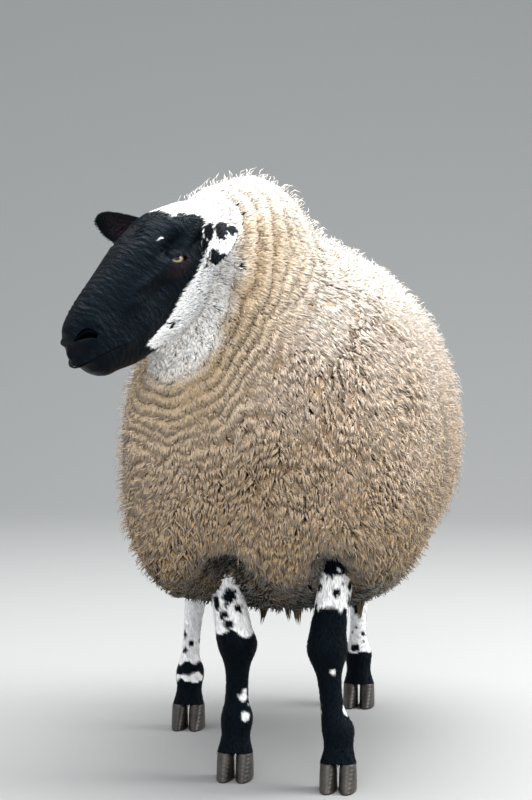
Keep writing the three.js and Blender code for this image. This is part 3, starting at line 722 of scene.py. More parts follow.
def merged(surfaces, radius, voxel):
    """Closed surfaces made one, with its creases filled: pushed out by a radius, remeshed into one, smoothed
    and let in again by the same radius."""
    form = new_object("merged", *joined(*surfaces))
    form.modifiers.new("out", "DISPLACE").strength = radius
    remesh = form.modifiers.new("one surface", "REMESH")
    remesh.mode, remesh.voxel_size = "VOXEL", voxel
    form.modifiers.new("soften", "SMOOTH").iterations = 8
    form.modifiers.new("in", "DISPLACE").strength = -radius
    for name in ("out", "in"):
        form.modifiers[name].mid_level = 0
    apply_modifiers(form)
    vertices, normals, triangles, _ = mesh_arrays(form.data)
    bpy.data.objects.remove(form)
    return vertices, normals, triangles


def fleece_surface():
    """The surface through the tips of the wool with its normals, and the skin below it: trunk, neck, tail and
    head made one, moved by the body's forms, and then let in by the coat's depth."""
    tail = ellipsoid(TAIL_MIDDLE, TAIL_HALVES, np.eye(3))
    body, _, faces = merged([trunk_surface(), neck_surface(), tail], BODY_CREASE, 11 * MM)
    tips, normals, triangles = merged([(body, faces), head_surface(3 * MM, 60, 60)], HEAD_CREASE, 8.5 * MM)
    offset = (tips[:, None] - BODY_FORMS[:, :3]) / BODY_FORMS[:, 3:6]
    tips = tips + np.exp(-(offset ** 2).sum(2)) @ BODY_FORMS[:, 6:]
    return tips, normals, triangles, tips - normals * coat_depth(tips)[:, None]


def wool_rows(points):
    """The rows that wool stands in: an angle that makes a full turn from one row to the next, and the height
    of the row. Round the neck they are folds, at even distances from the throat. Behind it they run down the
    body, bent and broken by smooth noise."""
    near = throat_distance(points)
    loose = ease(near, *LOOSE_REACH)
    far = 0.85 + 0.39 * points[:, 1] - 0.92 * points[:, 2]
    run = mixed(near, far, ease(near, 0.2, 0.32)) / ROW_SPACING
    run += mixed(0.22, 0.6, loose) * ripples(points, 80 * MM, 11) + 0.4 * loose * ripples(points, 30 * MM, 12)
    patchy = np.clip(0.8 + 0.6 * ripples(points, 100 * MM, 13), 0.2, 1.3)
    height = mixed(FOLD_HEIGHT, ROW_HEIGHT, loose) * patchy * ease(near, WHITE_REACH, 1.25 * WHITE_REACH)
    return 2 * np.pi * run, height


# ---- Head ----------------------------------------------------------------------------------------

def head_form(places, outward_ways):
    """Places on the head moved along their outward ways by the sum of its forms, each a Gaussian hill or
    hollow about its place on either side, and by wrinkles, sine waves across the forehead and the nose."""
    rise = np.zeros(places.shape[:-1])
    for place, spread, height in HEAD_FORMS.values():
        offset = (on_left_side(places) - MM * np.array(place)) / (MM * np.array(spread))
        rise += height * MM * np.exp(-(offset ** 2).sum(-1))
    flat = places.reshape(-1, 3)
    bent = flat[:, 0] + 5 * MM * ripples(flat, 50 * MM, 21) + 0.25 * np.abs(flat[:, 1])
    wave = np.sin(2 * np.pi * bent / WRINKLE_SPACING).reshape(rise.shape)
    along, above = places[..., 0], places[..., 2]
    forehead = ease(above, -12 * MM, 6 * MM) * ease(along, 40 * MM, 60 * MM)
    forehead *= 1 - ease(along, 105 * MM, 135 * MM)
    nose = ease(above, -30 * MM, 0) * ease(along, 180 * MM, 200 * MM) * (1 - ease(along, 232 * MM, 246 * MM))
    patchy = (0.6 + 0.5 * ripples(flat, 40 * MM, 22)).reshape(rise.shape)
    rise += WRINKLE_HEIGHT * wave * (forehead * patchy + 0.45 * nose)
    return places + outward_ways * rise[..., None]


def head_surface(inset=0.0, rows=150, sides=180):
    """The head without ears: ovals along it, raised and hollowed by its forms."""
    along, top, half, widest, under = curve_rows(HEAD, rows).T
    aside, rise = ovals(half - inset, top - widest - inset, widest - under - inset, sides)
    centres = np.stack([along, 0 * along, widest], -1)
    rings = rings_about(centres, Y_AXIS, Z_AXIS, aside, rise)
    round_it = np.roll(rings, -1, 1) - np.roll(rings, 1, 1)
    rings = head_form(rings, unit(np.cross(np.gradient(rings, axis=0), round_it)))
    return closed_tube(on_head(rings))


def nostril_surface(side, rows=30, sides=24):
    """The hollow of a nostril: a tube along its arched course, narrow across it and deep inwards."""
    along, aside, above, half, deep = curve_rows(NOSTRIL, rows).T
    course = on_head(np.stack([along, side * aside, above], -1))
    heading = unit(np.gradient(course, axis=0))
    inward = flattened(np.tile(-side * HEAD_AXES[1] - HEAD_AXES[0], (rows, 1)), heading)
    around, depth = ovals(half, deep, 0.35 * deep, sides, 1, 1)
    return closed_tube(rings_about(course, np.cross(heading, inward), inward, around, depth))


def mouth_surface(rows=40):
    """The gap between the lips: a thin sheet that reaches past both sides of the head, thicker in front."""
    along, level, gape = curve_rows(MOUTH, rows).T
    corners = np.array([[-1, -1], [1, -1], [1, 1], [-1, 1]])
    rings = np.stack([np.stack([along, np.full(rows, MOUTH_REACH * x), level + gape * z], -1)
                      for x, z in corners], 1)
    return closed_tube(on_head(rings))


def ear_line(ear, count):
    """Points of an ear's middle line, a quadratic curve from its root to its tip, with unit vectors across
    the leaf and out of its back."""
    t = np.linspace(0, 0.995, count)[:, None]
    root = EAR_ROOT * [1, ear["side"], 1]
    bend, tip = MM * np.array(ear["bend"]), MM * np.array(ear["tip"])
    middle, along = bent_line(root, bend, tip, t)
    across = unit(np.cross(along, np.array(ear["outside"])))
    return on_head(middle), across @ HEAD_AXES, np.cross(across, along) @ HEAD_AXES


def ear_leaf(length):
    """Share of an ear's width, and depth of its cup, at shares of its length."""
    share, cup = (np.interp(length, EAR_LEAF[:, 0], column) for column in EAR_LEAF.T[1:])
    return share, cup * MM


def ear_surface(ear, rows=70, columns=34):
    """An ear's leaf: across it the cup is a parabola, and the thickness an oval that thins towards the tip,
    with a rolled rim and slight waves. Share and cup are running means of seven, so that no knot shows."""
    middle, across, back = ear_line(ear, rows)
    length = np.linspace(0, 0.99, rows)
    share, cup = (np.convolve(np.pad(values, 3, "edge"), np.ones(7) / 7, "valid")
                  for values in ear_leaf(length))
    share[-3:] *= [0.85, 0.6, 0.25]  # a round tip
    v = -np.cos(np.pi * np.arange(columns) / (columns - 1))
    thick = (EAR_THICKNESS / 2 * (1 - 0.4 * length))[:, None] * np.sqrt(np.maximum(1.02 - v * v, 0))
    rim = 0.8 * MM * np.exp(-((np.abs(v) - 0.93) / 0.07) ** 2)
    centre = (middle[:, None] + across[:, None] * (v * share[:, None] * EAR_WIDTH / 2)[..., None]
              + back[:, None] * (cup[:, None] * (0.5 - 1.4 * v * v))[..., None])
    wave = 0.7 * MM * np.sin(9 * length)[:, None] * np.sin(5 * v)
    outer = centre + back[:, None] * (thick + rim + wave)[..., None]
    inner = centre - back[:, None] * (thick + rim - wave)[..., None]
    return closed_tube(np.concatenate([outer, inner[:, ::-1]], 1))


def ear_places(points, ear):
    """Where points lie on an ear: share of its length, place across from -1 to 1, and height out of its
    back."""
    middle, across, back = ear_line(ear, SAMPLES)
    closest = ((points[:, None] - middle) ** 2).sum(2).argmin(1)
    offset = points - middle[closest]
    length = closest / (SAMPLES - 1)
    share, cup = ear_leaf(length)
    place = (offset * across[closest]).sum(1) / (share * EAR_WIDTH / 2)
    height = (offset * back[closest]).sum(1) - cup * (0.5 - 1.4 * place ** 2)
    return length, place, height


def eye_axes(side):
    """The eye's own axes: along its opening, up across it, and out of the head."""
    tilt = np.radians(EYE_TILT)
    forward, left, up = HEAD_AXES
    along = np.cos(tilt) * forward + np.sin(tilt) * up
    return np.stack([along, np.cos(tilt) * up - np.sin(tilt) * forward, side * left])


# ---- Legs ----------------------------------------------------------------------------------------

def leg_surface(rows, count=110, sides=44):
    """A leg: level ovals up to inside the fleece, with a groove down each side before the tendons."""
    height, x, y, half, front, back = curve_rows(rows, count).T
    aside, rise = ovals(half, front, back, sides)
    angles = 2 * np.pi * (np.arange(sides) + 0.5) / sides
    groove = np.exp(-((np.abs(np.cos(angles)) - 0.85) / 0.2) ** 2) * (np.sin(angles) < 0)
    shank = ease(height, 95 * MM, 115 * MM) * (1 - ease(height, 165 * MM, 185 * MM))
    aside = aside * (1 - 0.13 * shank[:, None] * groove)
    return closed_tube(rings_about(np.stack([x, y, height], -1), X_AXIS, -Y_AXIS, aside, rise))


def leg_share(points, rows):
    """How far out points lie from a leg's middle line, where 1 is its surface, or 9 above its top."""
    x, y, half, front, back = looked_up(rows, points[:, 2])
    ahead = y - points[:, 1]
    share = np.hypot((points[:, 0] - x) / half, ahead / np.where(ahead > 0, front, back))
    return np.where(points[:, 2] > rows[-1, 0], 9, share)


def head_share(points):
    """How far out points lie from the middle of the head, where 1 is its surface before its forms."""
    places = head_places(points)
    top, half, widest, under = looked_up(HEAD, places[:, 0])
    above = places[:, 2] - widest
    share = np.hypot(places[:, 1] / half, above / np.where(above > 0, top - widest, widest - under))
    beyond = np.maximum(HEAD[0, 0] - places[:, 0], places[:, 0] - HEAD[-1, 0])
    return np.where(beyond > 0, 1 + beyond / (30 * MM), share)


# ---- Markings, shared by skin and coat -----------------------------------------------------------

def inside_blots(points, blots, soften=1.2 * MM):
    """1 inside any of the blots, whose rims are bent by smooth noise, and 0 outside."""
    centres, reaches = blots[:, :3], blots[:, 3]
    wobble = 1 + 0.28 * ripples(points, 12 * MM, 31)
    distance = np.linalg.norm(points[:, None] - centres, axis=2) * wobble[:, None]
    return ease(reaches - distance, -soften, soften).max(1)


def behind_face(places):
    """How far behind the border between the black of the face and the white places on the head lie."""
    degrees = np.degrees(np.arctan2(places[:, 2] - FACE_LEVEL, np.abs(places[:, 1])))
    return np.interp(degrees, FACE_BORDER[:, 0], FACE_BORDER[:, 1]) * MM - places[:, 0]


def head_unwrap(places):
    """An unwrap of the head's own shape: the angle round it and the place along it."""
    return np.stack([np.arctan2(places[:, 2] - FACE_LEVEL, places[:, 1]), 10 * places[:, 0]], -1)


def head_black(points):
    """How black the head's hair is: black in front of the face's border, with blots and flecks."""
    places = head_places(points)
    jagged = BORDER_WOBBLE * (0.8 * ripples(points, 22 * MM, 32) + 0.5 * ripples(points, 7 * MM, 33))
    black = ease(jagged - behind_face(places), -0.8 * MM, 0.8 * MM)
    black = np.maximum(black, inside_blots(places, HEAD_BLOTS))
    return black * (1 - inside_blots(places, HEAD_FLECKS, 0.6 * MM))


def ear_black(points, ear):
    """How black an ear's hair is: all of the right one, the left one's inside and its blots."""
    if ear["side"] < 0:
        return np.ones(len(points))
    height = ear_places(points, ear)[2]
    places = head_places(points)[:, :2]
    places[:, 1] -= EAR_SLANT * places[:, 0]
    places = places[:, None] - EAR_BLOTS[:, :2]
    wobble = 1 + 0.2 * ripples(points, 9 * MM, 34) + 0.1 * ripples(points, 4 * MM, 39)
    distance = np.linalg.norm(places / EAR_BLOTS[:, 2:], axis=2) * wobble[:, None]
    return np.maximum(ease(1 - distance, -0.1, 0.1).max(1), height < -0.2 * MM)


def leg_black(points):
    """How black the legs' hair is: black feet up to a wavy line on each shank, with blots and flecks; the blots
    high on the fore legs are partly painted shade.
    """
    black = np.zeros(len(points))
    for name, rows in LEGS.items():
        x, y = looked_up(rows, points[:, 2])[:2]
        near = np.hypot(points[:, 0] - x, points[:, 1] - y) < 90 * MM
        level, front_rise = SHANK_BORDER[name]
        ahead = np.clip((y - points[:, 1]) / (20 * MM), -1, 1)
        border = MM * (level + front_rise * ahead) + 4 * MM * ripples(points, 30 * MM, 35)
        below = ease(border - points[:, 2], -1.2 * MM, 1.2 * MM)
        black = np.where(near, below, black)
    on_right_hind = (points[:, 0] < -140 * MM) & (points[:, 1] > 60 * MM)
    level = points[:, 2] + 3 * MM * ripples(points, 20 * MM, 36)
    low, high = HIND_BAND
    band = ease(level, low - MM, low + MM) * (1 - ease(level, high - MM, high + MM))
    white_ring = (level > 76 * MM) & (level < low) & on_right_hind & (points[:, 1] < 140 * MM)
    black = np.maximum(np.where(white_ring, 0, black), band * on_right_hind)
    scattered = ripples(points, 26 * MM, 37) > 1.15
    black = np.maximum(black, scattered & (points[:, 2] > 100 * MM) & (points[:, 2] < 330 * MM))
    black = np.maximum(black, inside_blots(points, LEG_BLOTS_AND_SHADE))
    return black * (1 - inside_blots(points, LEG_FLECKS))


def hair_colours(black, colours, points):
    """The short coat's colours: black and white hair mixed by how black it is, each a little uneven."""
    uneven = 1 + 0.12 * ripples(points, 9 * MM, 38)[:, None]
    dark, pale = linear(colours.black_hair), linear(colours.white_hair)
    return mixed(pale, dark, np.clip(black, 0, 1)[:, None]) * uneven


def wool_colours(points, colours):
    """The fleece's colours: pale on top, cream on the sides, greyer below, partly the wool's own colour and
    partly painted light on top and painted shade below; darker under the belly and round the tops of the fore
    legs, partly dirt and partly painted shade; warm short wool in the neck's folds, white behind the face and a
    few dark specks."""
    # height, by which the wool grows paler upwards: partly its own colour, partly painted light on top and
    # painted shade below
    level = points[:, 2] + 25 * MM * ripples(points, 140 * MM, 41)
    # darker towards the bottom under the belly: dirt, and painted shade beneath the body
    belly_dirt_and_shade = 1 - ease(points[:, 2] + 14 * MM * ripples(points, 60 * MM, 42), 0.25, 0.34)
    # near black round the tops of the fore legs: dirt, and painted shade in the creases there
    fore_leg_dirt_and_shade = np.linalg.norm(points[:, None] - FORE_LEG_DIRT_AND_SHADE[:, :3], axis=2) / FORE_LEG_DIRT_AND_SHADE[:, 3]
    fore_leg_dirt_and_shade = 1 - ease(fore_leg_dirt_and_shade.min(1) + 0.2 * ripples(points, 25 * MM, 45), 0.45, 1)
    near = throat_distance(points)
    warm = (1 - ease(near, 110 * MM, 220 * MM)) * (1 - ease(points[:, 2], 0.79, 0.85))
    rim = near + 5 * MM * ripples(points, 50 * MM, 43)
    white = 1 - ease(rim, WHITE_REACH - 8 * MM, WHITE_REACH + 24 * MM)
    speck = np.linalg.norm(points[:, None] - WOOL_SPECKS, axis=2).min(1) < 4.5 * MM
    shade = linear(colours.low_wool)
    for colour, share in (
            (linear(colours.side_wool), ease(level, 0.30, 0.58)),
            (linear(colours.top_wool), ease(level, 0.5, 0.8)),
            (linear(colours.dirty_and_shaded_wool), belly_dirt_and_shade), (linear(colours.dirty_and_shaded_wool) * 0.35, 0.9 * fore_leg_dirt_and_shade),
            (linear(colours.neck_wool), 0.8 * warm), (linear(colours.white_hair), white),
            (linear(colours.black_hair) * 2, speck)):
        shade = mixed(shade, colour, share[:, None])
    return shade * (1 + 0.05 * ripples(points, 30 * MM, 44)[:, None])


# ---- Materials -----------------------------------------------------------------------------------

def new_material(name, **sockets):
    """A material with its shader's own sockets set."""
    finish = bpy.data.materials.new(name)
    finish.use_nodes = True
    shader = finish.node_tree.nodes["Principled BSDF"]
    for socket, value in sockets.items():
        shader.inputs[socket.replace("_", " ").title().replace("Ior", "IOR")].default_value = value
    return finish, finish.node_tree, shader


def add_node(tree, kind, inputs=None, **settings):
    """A node with its settings, whose inputs are values or other nodes' outputs."""
    node = tree.nodes.new(kind)
    for name, value in settings.items():
        setattr(node, name, value)
    for name, value in (inputs or {}).items():
        if isinstance(value, bpy.types.NodeSocket):
            tree.links.new(value, node.inputs[name])
        else:
            node.inputs[name].default_value = value
    return node


def read_attribute(tree, name, output):
    """A mesh's attribute, as its colour or its number."""
    return add_node(tree, "ShaderNodeAttribute", attribute_name=name).outputs[output]


def add_noise(tree, vector, scale, detail):
    """Noise of about 0 to 1 at a vector."""
    inputs = {"Vector": vector, "Scale": scale, "Detail": detail}
    return add_node(tree, "ShaderNodeTexNoise", inputs).outputs["Fac"]


def own_place(tree):
    """The place in Object coordinates, so that a pattern stays with its piece."""
    return add_node(tree, "ShaderNodeTexCoord").outputs["Object"]


def tinted(tree, shader, scale, strength):
    """Base colour from the tint attribute, made a little lighter and darker by noise on Object places."""
    place = own_place(tree)
    level = add_node(tree, "ShaderNodeMapRange", {
        "Value": add_noise(tree, place, scale, 3.0), "To Min": 1 - strength, "To Max": 1 + strength})
    factors = {0: read_attribute(tree, "tint", "Color"), 1: level.outputs["Result"]}
    colour = add_node(tree, "ShaderNodeVectorMath", factors, operation="MULTIPLY")
    tree.links.new(colour.outputs["Vector"], shader.inputs["Base Color"])
    return place


def roughen(tree, shader, place, layers, rotation=(0, 0, 0)):
    """Bumps of noise, each of a scale, stretched along the axes of a rotated frame, and of a depth."""
    for scale, stretch, depth in layers:
        stretched = {"Vector": place, "Rotation": rotation, "Scale": stretch}
        mapping = add_node(tree, "ShaderNodeMapping", stretched, vector_type="TEXTURE")
        height = add_noise(tree, mapping.outputs["Vector"], scale, 4.0)
        bump = add_node(tree, "ShaderNodeBump", {"Height": height, "Distance": depth})
        if shader.inputs["Normal"].links:
            tree.links.new(shader.inputs["Normal"].links[0].from_socket, bump.inputs["Normal"])
        tree.links.new(bump.outputs["Normal"], shader.inputs["Normal"])


def ramp_colour(tree, shader, level, stops):
    """Base colour from a level, by a ramp of places and colours."""
    ramp = add_node(tree, "ShaderNodeValToRGB", {"Fac": level})
    elements = ramp.color_ramp.elements
    elements.remove(elements[0])
    for index, (position, colour) in enumerate(stops):
        element = elements.new(position) if index else elements[0]
        element.position, element.color = position, (*colour, 1)
    tree.links.new(ramp.outputs["Color"], shader.inputs["Base Color"])


def hide_material(name, roughness, layers=((900.0, (1, 1, 1), 0.4 * MM),), rotation=(0, 0, 0)):
    """Skin under short hair."""
    finish, tree, shader = new_material(name, roughness=roughness, specular_ior_level=0.09,
                                        specular_tint=(0.5, 0.78, 1.0, 1))
    roughen(tree, shader, tinted(tree, shader, 180.0, 0.25), layers, rotation)
    return finish


def wool_material(name, sheen):
    """Matt wool with a soft sheen."""
    finish, tree, shader = new_material(name, roughness=1.0, specular_ior_level=0.05, sheen_weight=sheen,
                                       sheen_roughness=0.5)
    roughen(tree, shader, tinted(tree, shader, 260.0, 0.18), ((900.0, (1, 1, 3), 0.5 * MM),))
    return finish


# ---- Settings ------------------------------------------------------------------------------------

def length_setting(name, description, default):
    """A length in metres that the sidebar shows."""
    return FloatProperty(name=name, description=description, default=default, unit="LENGTH", precision=4)


def share_setting(name, description, default):
    """A share from 0 to 1 that the sidebar shows."""
    return FloatProperty(name=name, description=description, default=default, min=0, max=1)


def colour_setting(name, description, default):
    """A display colour that the sidebar shows."""
    return FloatVectorProperty(name=name, description=description, default=default, size=3, min=0, max=1,
                               subtype="COLOR_GAMMA")


class SheepSizes(bpy.types.PropertyGroup):
    """Sizes of the coat's tufts."""
    lock_spacing: length_setting("Lock spacing", "Distance between two locks of the full fleece", 3.72 * MM)
    collar_spacing: length_setting("Collar spacing", "The same in the short wool behind the head", 2.9 * MM)
    staple_spacing: length_setting("Staple spacing", "Distance between the points that locks gather to",
                                   14 * MM)
    staple_pull: share_setting("Staple pull", "How far the tips of locks gather to their staple", 0.42)
    row_pull: share_setting("Row pull", "How far the tips of locks gather to their row", 0.9)
    reach: length_setting("Reach", "How far the tip of a full lock lies along the coat", 7 * MM)
    collar_reach: length_setting("Collar reach", "The same behind the head", 6 * MM)
    wisp_spacing: length_setting("Wisp spacing", "Distance between two fine wisps", 10.5 * MM)
    face_spacing: length_setting("Face hair spacing", "Distance between two tufts on the face", 2.6 * MM)
    face_length: length_setting("Face hair length", "Length of a tuft on the face", 7 * MM)
    leg_spacing: length_setting("Leg hair spacing", "Distance between two tufts on the legs", 3.4 * MM)
    leg_length: length_setting("Leg hair length", "Length of a tuft on the legs", 6 * MM)
    seed: IntProperty(name="Seed", description="Start of the coat's random draws", default=4)


class SheepColours(bpy.types.PropertyGroup):
    """Colours of hair, wool, horn and eye."""
    # the black hair's blue cast is painted sheen
    black_hair: colour_setting("Black hair", "Face, ears and feet", (0.014, 0.024, 0.042))
    white_hair: colour_setting("White hair", "Behind the face and on the shanks", (0.97, 0.965, 0.96))
    bare_skin: colour_setting("Bare skin", "Round the eyes and in the ears", (0.24, 0.17, 0.19))
    # paler on top and darker below: partly the wool's own colours, partly painted light on top and painted
    # shade below
    top_wool: colour_setting("Wool on top", "Back and crest", (0.93, 0.9, 0.865))
    side_wool: colour_setting("Wool on the sides", "Chest and flanks", (0.80, 0.72, 0.635))
    neck_wool: colour_setting("Wool of the neck", "Short wool between the folds", (0.76, 0.665, 0.525))
    low_wool: colour_setting("Wool below", "Lower chest and flanks", (0.67, 0.57, 0.435))
    # dark brown wool: dirt, and painted shade under the belly and round the tops of the fore legs
    dirty_and_shaded_wool: colour_setting("Stained wool", "Under the belly", (0.16, 0.15, 0.075))
    horn: colour_setting("Horn", "Hooves", (0.16, 0.14, 0.12))
    eye_rim: colour_setting("Eye rim", "Pale rim round the amber of the eye", (0.66, 0.61, 0.53))


# ---- Operators -----------------------------------------------------------------------------------

FACE, EAR, BODY, SHANK, LINING = range(5)
made = {}  # surfaces that later operators grow their tufts on


def settings(context, step):
    """The sidebar's sizes and colours, and the random draws of one step of the coat."""
    sizes = context.scene.sheep_sizes
    return sizes, context.scene.sheep_colours, np.random.default_rng(sizes.seed + step)


class SHEEP_OT_skin(bpy.types.Operator):
    """One closed skin: body under the fleece, head with lids, nostrils, lips and ears, and legs"""
    bl_idname = "sheep.skin"
    bl_label = "Skin"

    def execute(self, context):
        # wrinkles run across the head and its hair along it, and the legs' hair lies downwards
        wrinkled = ((170.0, (1, 4, 2), 3.2 * MM), (900.0, (4, 1, 1), 0.6 * MM))
        finishes = [
            hide_material("face_hide", 0.45, wrinkled, Matrix(HEAD_AXES.T).to_euler()),
            hide_material("ear_hide", 0.6),
            hide_material("body_hide", 0.9),
            hide_material("shank_hide", 0.6, ((500.0, (1, 1, 4), 0.5 * MM),)),
            hide_material("lining", 0.35),
        ]
        _, _, triangles, under = made["fleece"] = fleece_surface()
        skin = new_object("skin", under, triangles, finishes, BODY)
        combine(skin, [head_object(finishes), *limb_objects(finishes)], "UNION")
        vertices, _, triangles, regions = made["skin"] = mesh_arrays(skin.data)
        region = np.full(len(vertices), BODY)
        region[triangles] = regions[:, None]
        set_colours(skin.data, "tint", skin_tint(vertices, region, context.scene.sheep_colours))
        finish_piece(skin, "face", "head", "neck", "chest", "barrel", "rump", "tail", "ear_left", "ear_right",
                     "leg_front_left", "leg_front_right", "leg_hind_left", "leg_hind_right")
        return {"FINISHED"}


def head_object(finishes):
    """The head with its lids and ears joined on, and its mouth, nostrils and eye holes cut out."""
    head = new_object("head_form", *head_surface(), finishes, FACE)
    inner = new_object("inner_head", *head_surface(MOUTH_DEPTH, 60, 60), finishes, LINING)
    gap = new_object("gap_of_the_mouth", *mouth_surface(), finishes, LINING)
    combine(gap, [inner], "DIFFERENCE")
    added, hollows = [], [gap]
    ball = [EYEBALL_RADIUS + 0.1 * MM] * 3
    opening = EYE_OPENING[[0, 1, 0]] / 2
    for ear in EARS.values():
        side = ear["side"]
        axes = eye_axes(side)
        centre = on_head(EYE_PLACE * [1, side, 1])
        front = centre + axes[2] * EYEBALL_RADIUS
        added.append(new_object("lids", *ellipsoid(centre, LID_HALVES, axes), finishes, FACE))
        added.append(new_object("ear_form", *ear_surface(ear), finishes, EAR))
        hollows.append(new_object("ball", *ellipsoid(centre, ball, axes), finishes, LINING))
        hollows.append(new_object("opening", *ellipsoid(front, opening, axes), finishes, FACE))
        hollows.append(new_object("nostril", *nostril_surface(side), finishes, LINING))
    combine(head, added, "UNION")
    combine(head, hollows, "DIFFERENCE")
    return head


def limb_objects(finishes):
    """The four legs, each with two dew claws behind its fetlock."""
    limbs = []
    for rows in LEGS.values():
        limbs.append(new_object("leg_form", *leg_surface(rows), finishes, SHANK))
        fetlock = rows[2]
        for side in (-1, 1):
            place = [fetlock[1] + side * DEWCLAW_APART, fetlock[2] + fetlock[5], DEWCLAW_HEIGHT]
            dewclaw = ellipsoid(np.array(place), DEWCLAW_HALVES, np.eye(3), 16, 12)
            limbs.append(new_object("dewclaw", *dewclaw, finishes, SHANK))
    return limbs


def skin_tint(vertices, region, colours):
    """The skin's colours: below the fleece the wool's, darkened to 0.55 as painted shade of the deep coat;
    elsewhere the short hair's, barer round the eyes, on the nose and in the ears; and near black in the mouth
    and nostrils, painted shade in their hollows."""
    black = black_at(vertices, region)
    short = hair_colours(black, colours, vertices)
    # under the fleece the wool's colour darkened to 0.55: painted shade of the deep coat
    tint = np.where((region == BODY)[:, None], wool_colours(vertices, colours) * 0.55, short)
    bare_skin = linear(colours.bare_skin)
    tint = mixed(tint, bare_skin * (0.6 + 0.6 * (1 - black[:, None])), bare_share(vertices, region)[:, None])
    # the lining of mouth, nostrils and eye holes near black: painted shade in the hollows
    return np.where((region == LINING)[:, None], bare_skin * 0.012, tint)


def black_at(points, region):
    """How black the short hair is at points of any region of the skin."""
    black = head_black(points)
    places = head_places(points)
    for ear in EARS.values():
        on_ear = (region == EAR) & (places[:, 1] * ear["side"] > 0)
        black[on_ear] = ear_black(points[on_ear], ear)
    shank = region == SHANK
    black[shank] = leg_black(points[shank])
    black[region == BODY] = 0
    return black


def bare_share(points, region):
    """How bare the skin is: round the eyes, on the nose's tip and in the cups of the ears."""
    places = head_places(points)
    eye, nose = (np.linalg.norm((on_left_side(places) - middle) / spread, axis=1)
                 for middle, spread in BARE_SPOTS)
    bare = np.maximum(0.35 * (1 - ease(eye, 0.5, 1.15)), 0.12 * (1 - ease(nose, 0.5, 1.1)))
    bare = np.where(region == FACE, bare, 0)
    for ear in EARS.values():
        on_ear = (region == EAR) & (places[:, 1] * ear["side"] > 0)
        length, place, height = ear_places(points[on_ear], ear)
        cup = (height < 0) * (1 - ease(np.abs(place), 0.5, 0.85)) * (1 - ease(length, 0.7, 0.9))
        bare[on_ear] = 0.9 * cup
    return bare


class SHEEP_OT_eyes(bpy.types.Operator):
    """Eyeballs with an amber iris, a level slot of a pupil and a clear front"""
    bl_idname = "sheep.eyes"
    bl_label = "Eyes"

    def execute(self, context):
        colours = context.scene.sheep_colours
        finish = eye_material(linear(colours.eye_rim))
        for name, ear in EARS.items():
            axes = eye_axes(ear["side"])
            centre = on_head(EYE_PLACE * [1, ear["side"], 1])
            vertices, triangles = ellipsoid(centre, [EYEBALL_RADIUS] * 3, axes, 64, 64)
            gaze = np.stack([np.cos(GAZE) * axes[0] - np.sin(GAZE) * axes[2], axes[1],
                             np.cos(GAZE) * axes[2] + np.sin(GAZE) * axes[0]])
            local = (vertices - centre) @ gaze.T / EYEBALL_RADIUS
            bulge = 0.5 * MM * np.exp(-(local[:, :2] ** 2).sum(1) / 0.18) * (local[:, 2] > 0)
            vertices = vertices + gaze[2] * bulge[:, None]
            ball = new_object(f"eyeball_{name}", vertices, triangles, [finish])
            set_numbers(ball.data, "along_iris", local[:, 0])
            set_numbers(ball.data, "up_iris", local[:, 1])
            finish_piece(ball, "eye", f"eye_{name}")
        return {"FINISHED"}


def eye_material(rim):
    """Colour by an oval distance from the middle of the pupil, made uneven by noise: black, brown, amber,
    then a pale rim."""
    finish, tree, shader = new_material("eye", roughness=0.2, specular_ior_level=0.4, coat_weight=0.3,
                                       coat_roughness=0.05)
    up = read_attribute(tree, "up_iris", "Fac")
    raised = add_node(tree, "ShaderNodeMath", {0: up, 1: PUPIL_RISE}, operation="SUBTRACT").outputs["Value"]
    along = read_attribute(tree, "along_iris", "Fac")
    place = add_node(tree, "ShaderNodeCombineXYZ", {"X": along, "Y": raised}).outputs["Vector"]
    oval = add_node(tree, "ShaderNodeVectorMath", {0: place, 1: PUPIL_OVAL}, operation="MULTIPLY")
    radius = add_node(tree, "ShaderNodeVectorMath", {0: oval.outputs["Vector"]}, operation="LENGTH")
    noise = add_noise(tree, place, 9.0, 5.0)
    uneven = add_node(tree, "ShaderNodeMath", {0: noise, 1: 0.1}, operation="MULTIPLY").outputs["Value"]
    spot = add_node(tree, "ShaderNodeMath", {0: radius.outputs["Value"], 1: uneven}, operation="ADD")
    ramp_colour(tree, shader, spot.outputs["Value"], [
        (0.42, rim * 0.01), (0.48, rim * [0.3, 0.18, 0.08]), (0.56, rim * [0.85, 0.62, 0.38]), (0.64, rim),
        (1.0, rim * 0.7)])
    return finish


class SHEEP_OT_hooves(bpy.types.Operator):
    """The eight claws of the four cloven hooves"""
    bl_idname = "sheep.hooves"
    bl_label = "Hooves"

    def execute(self, context):
        finish = horn_material(linear(context.scene.sheep_colours.horn))
        for name, rows in LEGS.items():
            for claw, side in (("right", -1), ("left", 1)):
                piece = new_object(f"claw_{name}_{claw}", *claw_surface(rows[0], side), [finish])
                finish_piece(piece, "hoof", f"hoof_{name}_{claw}")
        return {"FINISHED"}


def claw_surface(row, side, count=28, sides=40):
    """A claw: level ovals from the sole up, narrowing to the toe with the square of the reach."""
    height, toe, heel, share = curve_rows(CLAW, count).T
    aside, rise = ovals(CLAW_WIDTH * share, toe, heel, sides, 0.8, 0.8)
    taper = 1 - 0.25 * np.clip(rise / (38 * MM), 0, 1) ** 2
    middle = row[1] + side * (CLEFT + CLAW_WIDTH) / 2
    centres = np.stack([np.full(count, middle), np.full(count, row[2]), height], -1)
    return closed_tube(rings_about(centres, X_AXIS, -Y_AXIS, aside * taper, rise))


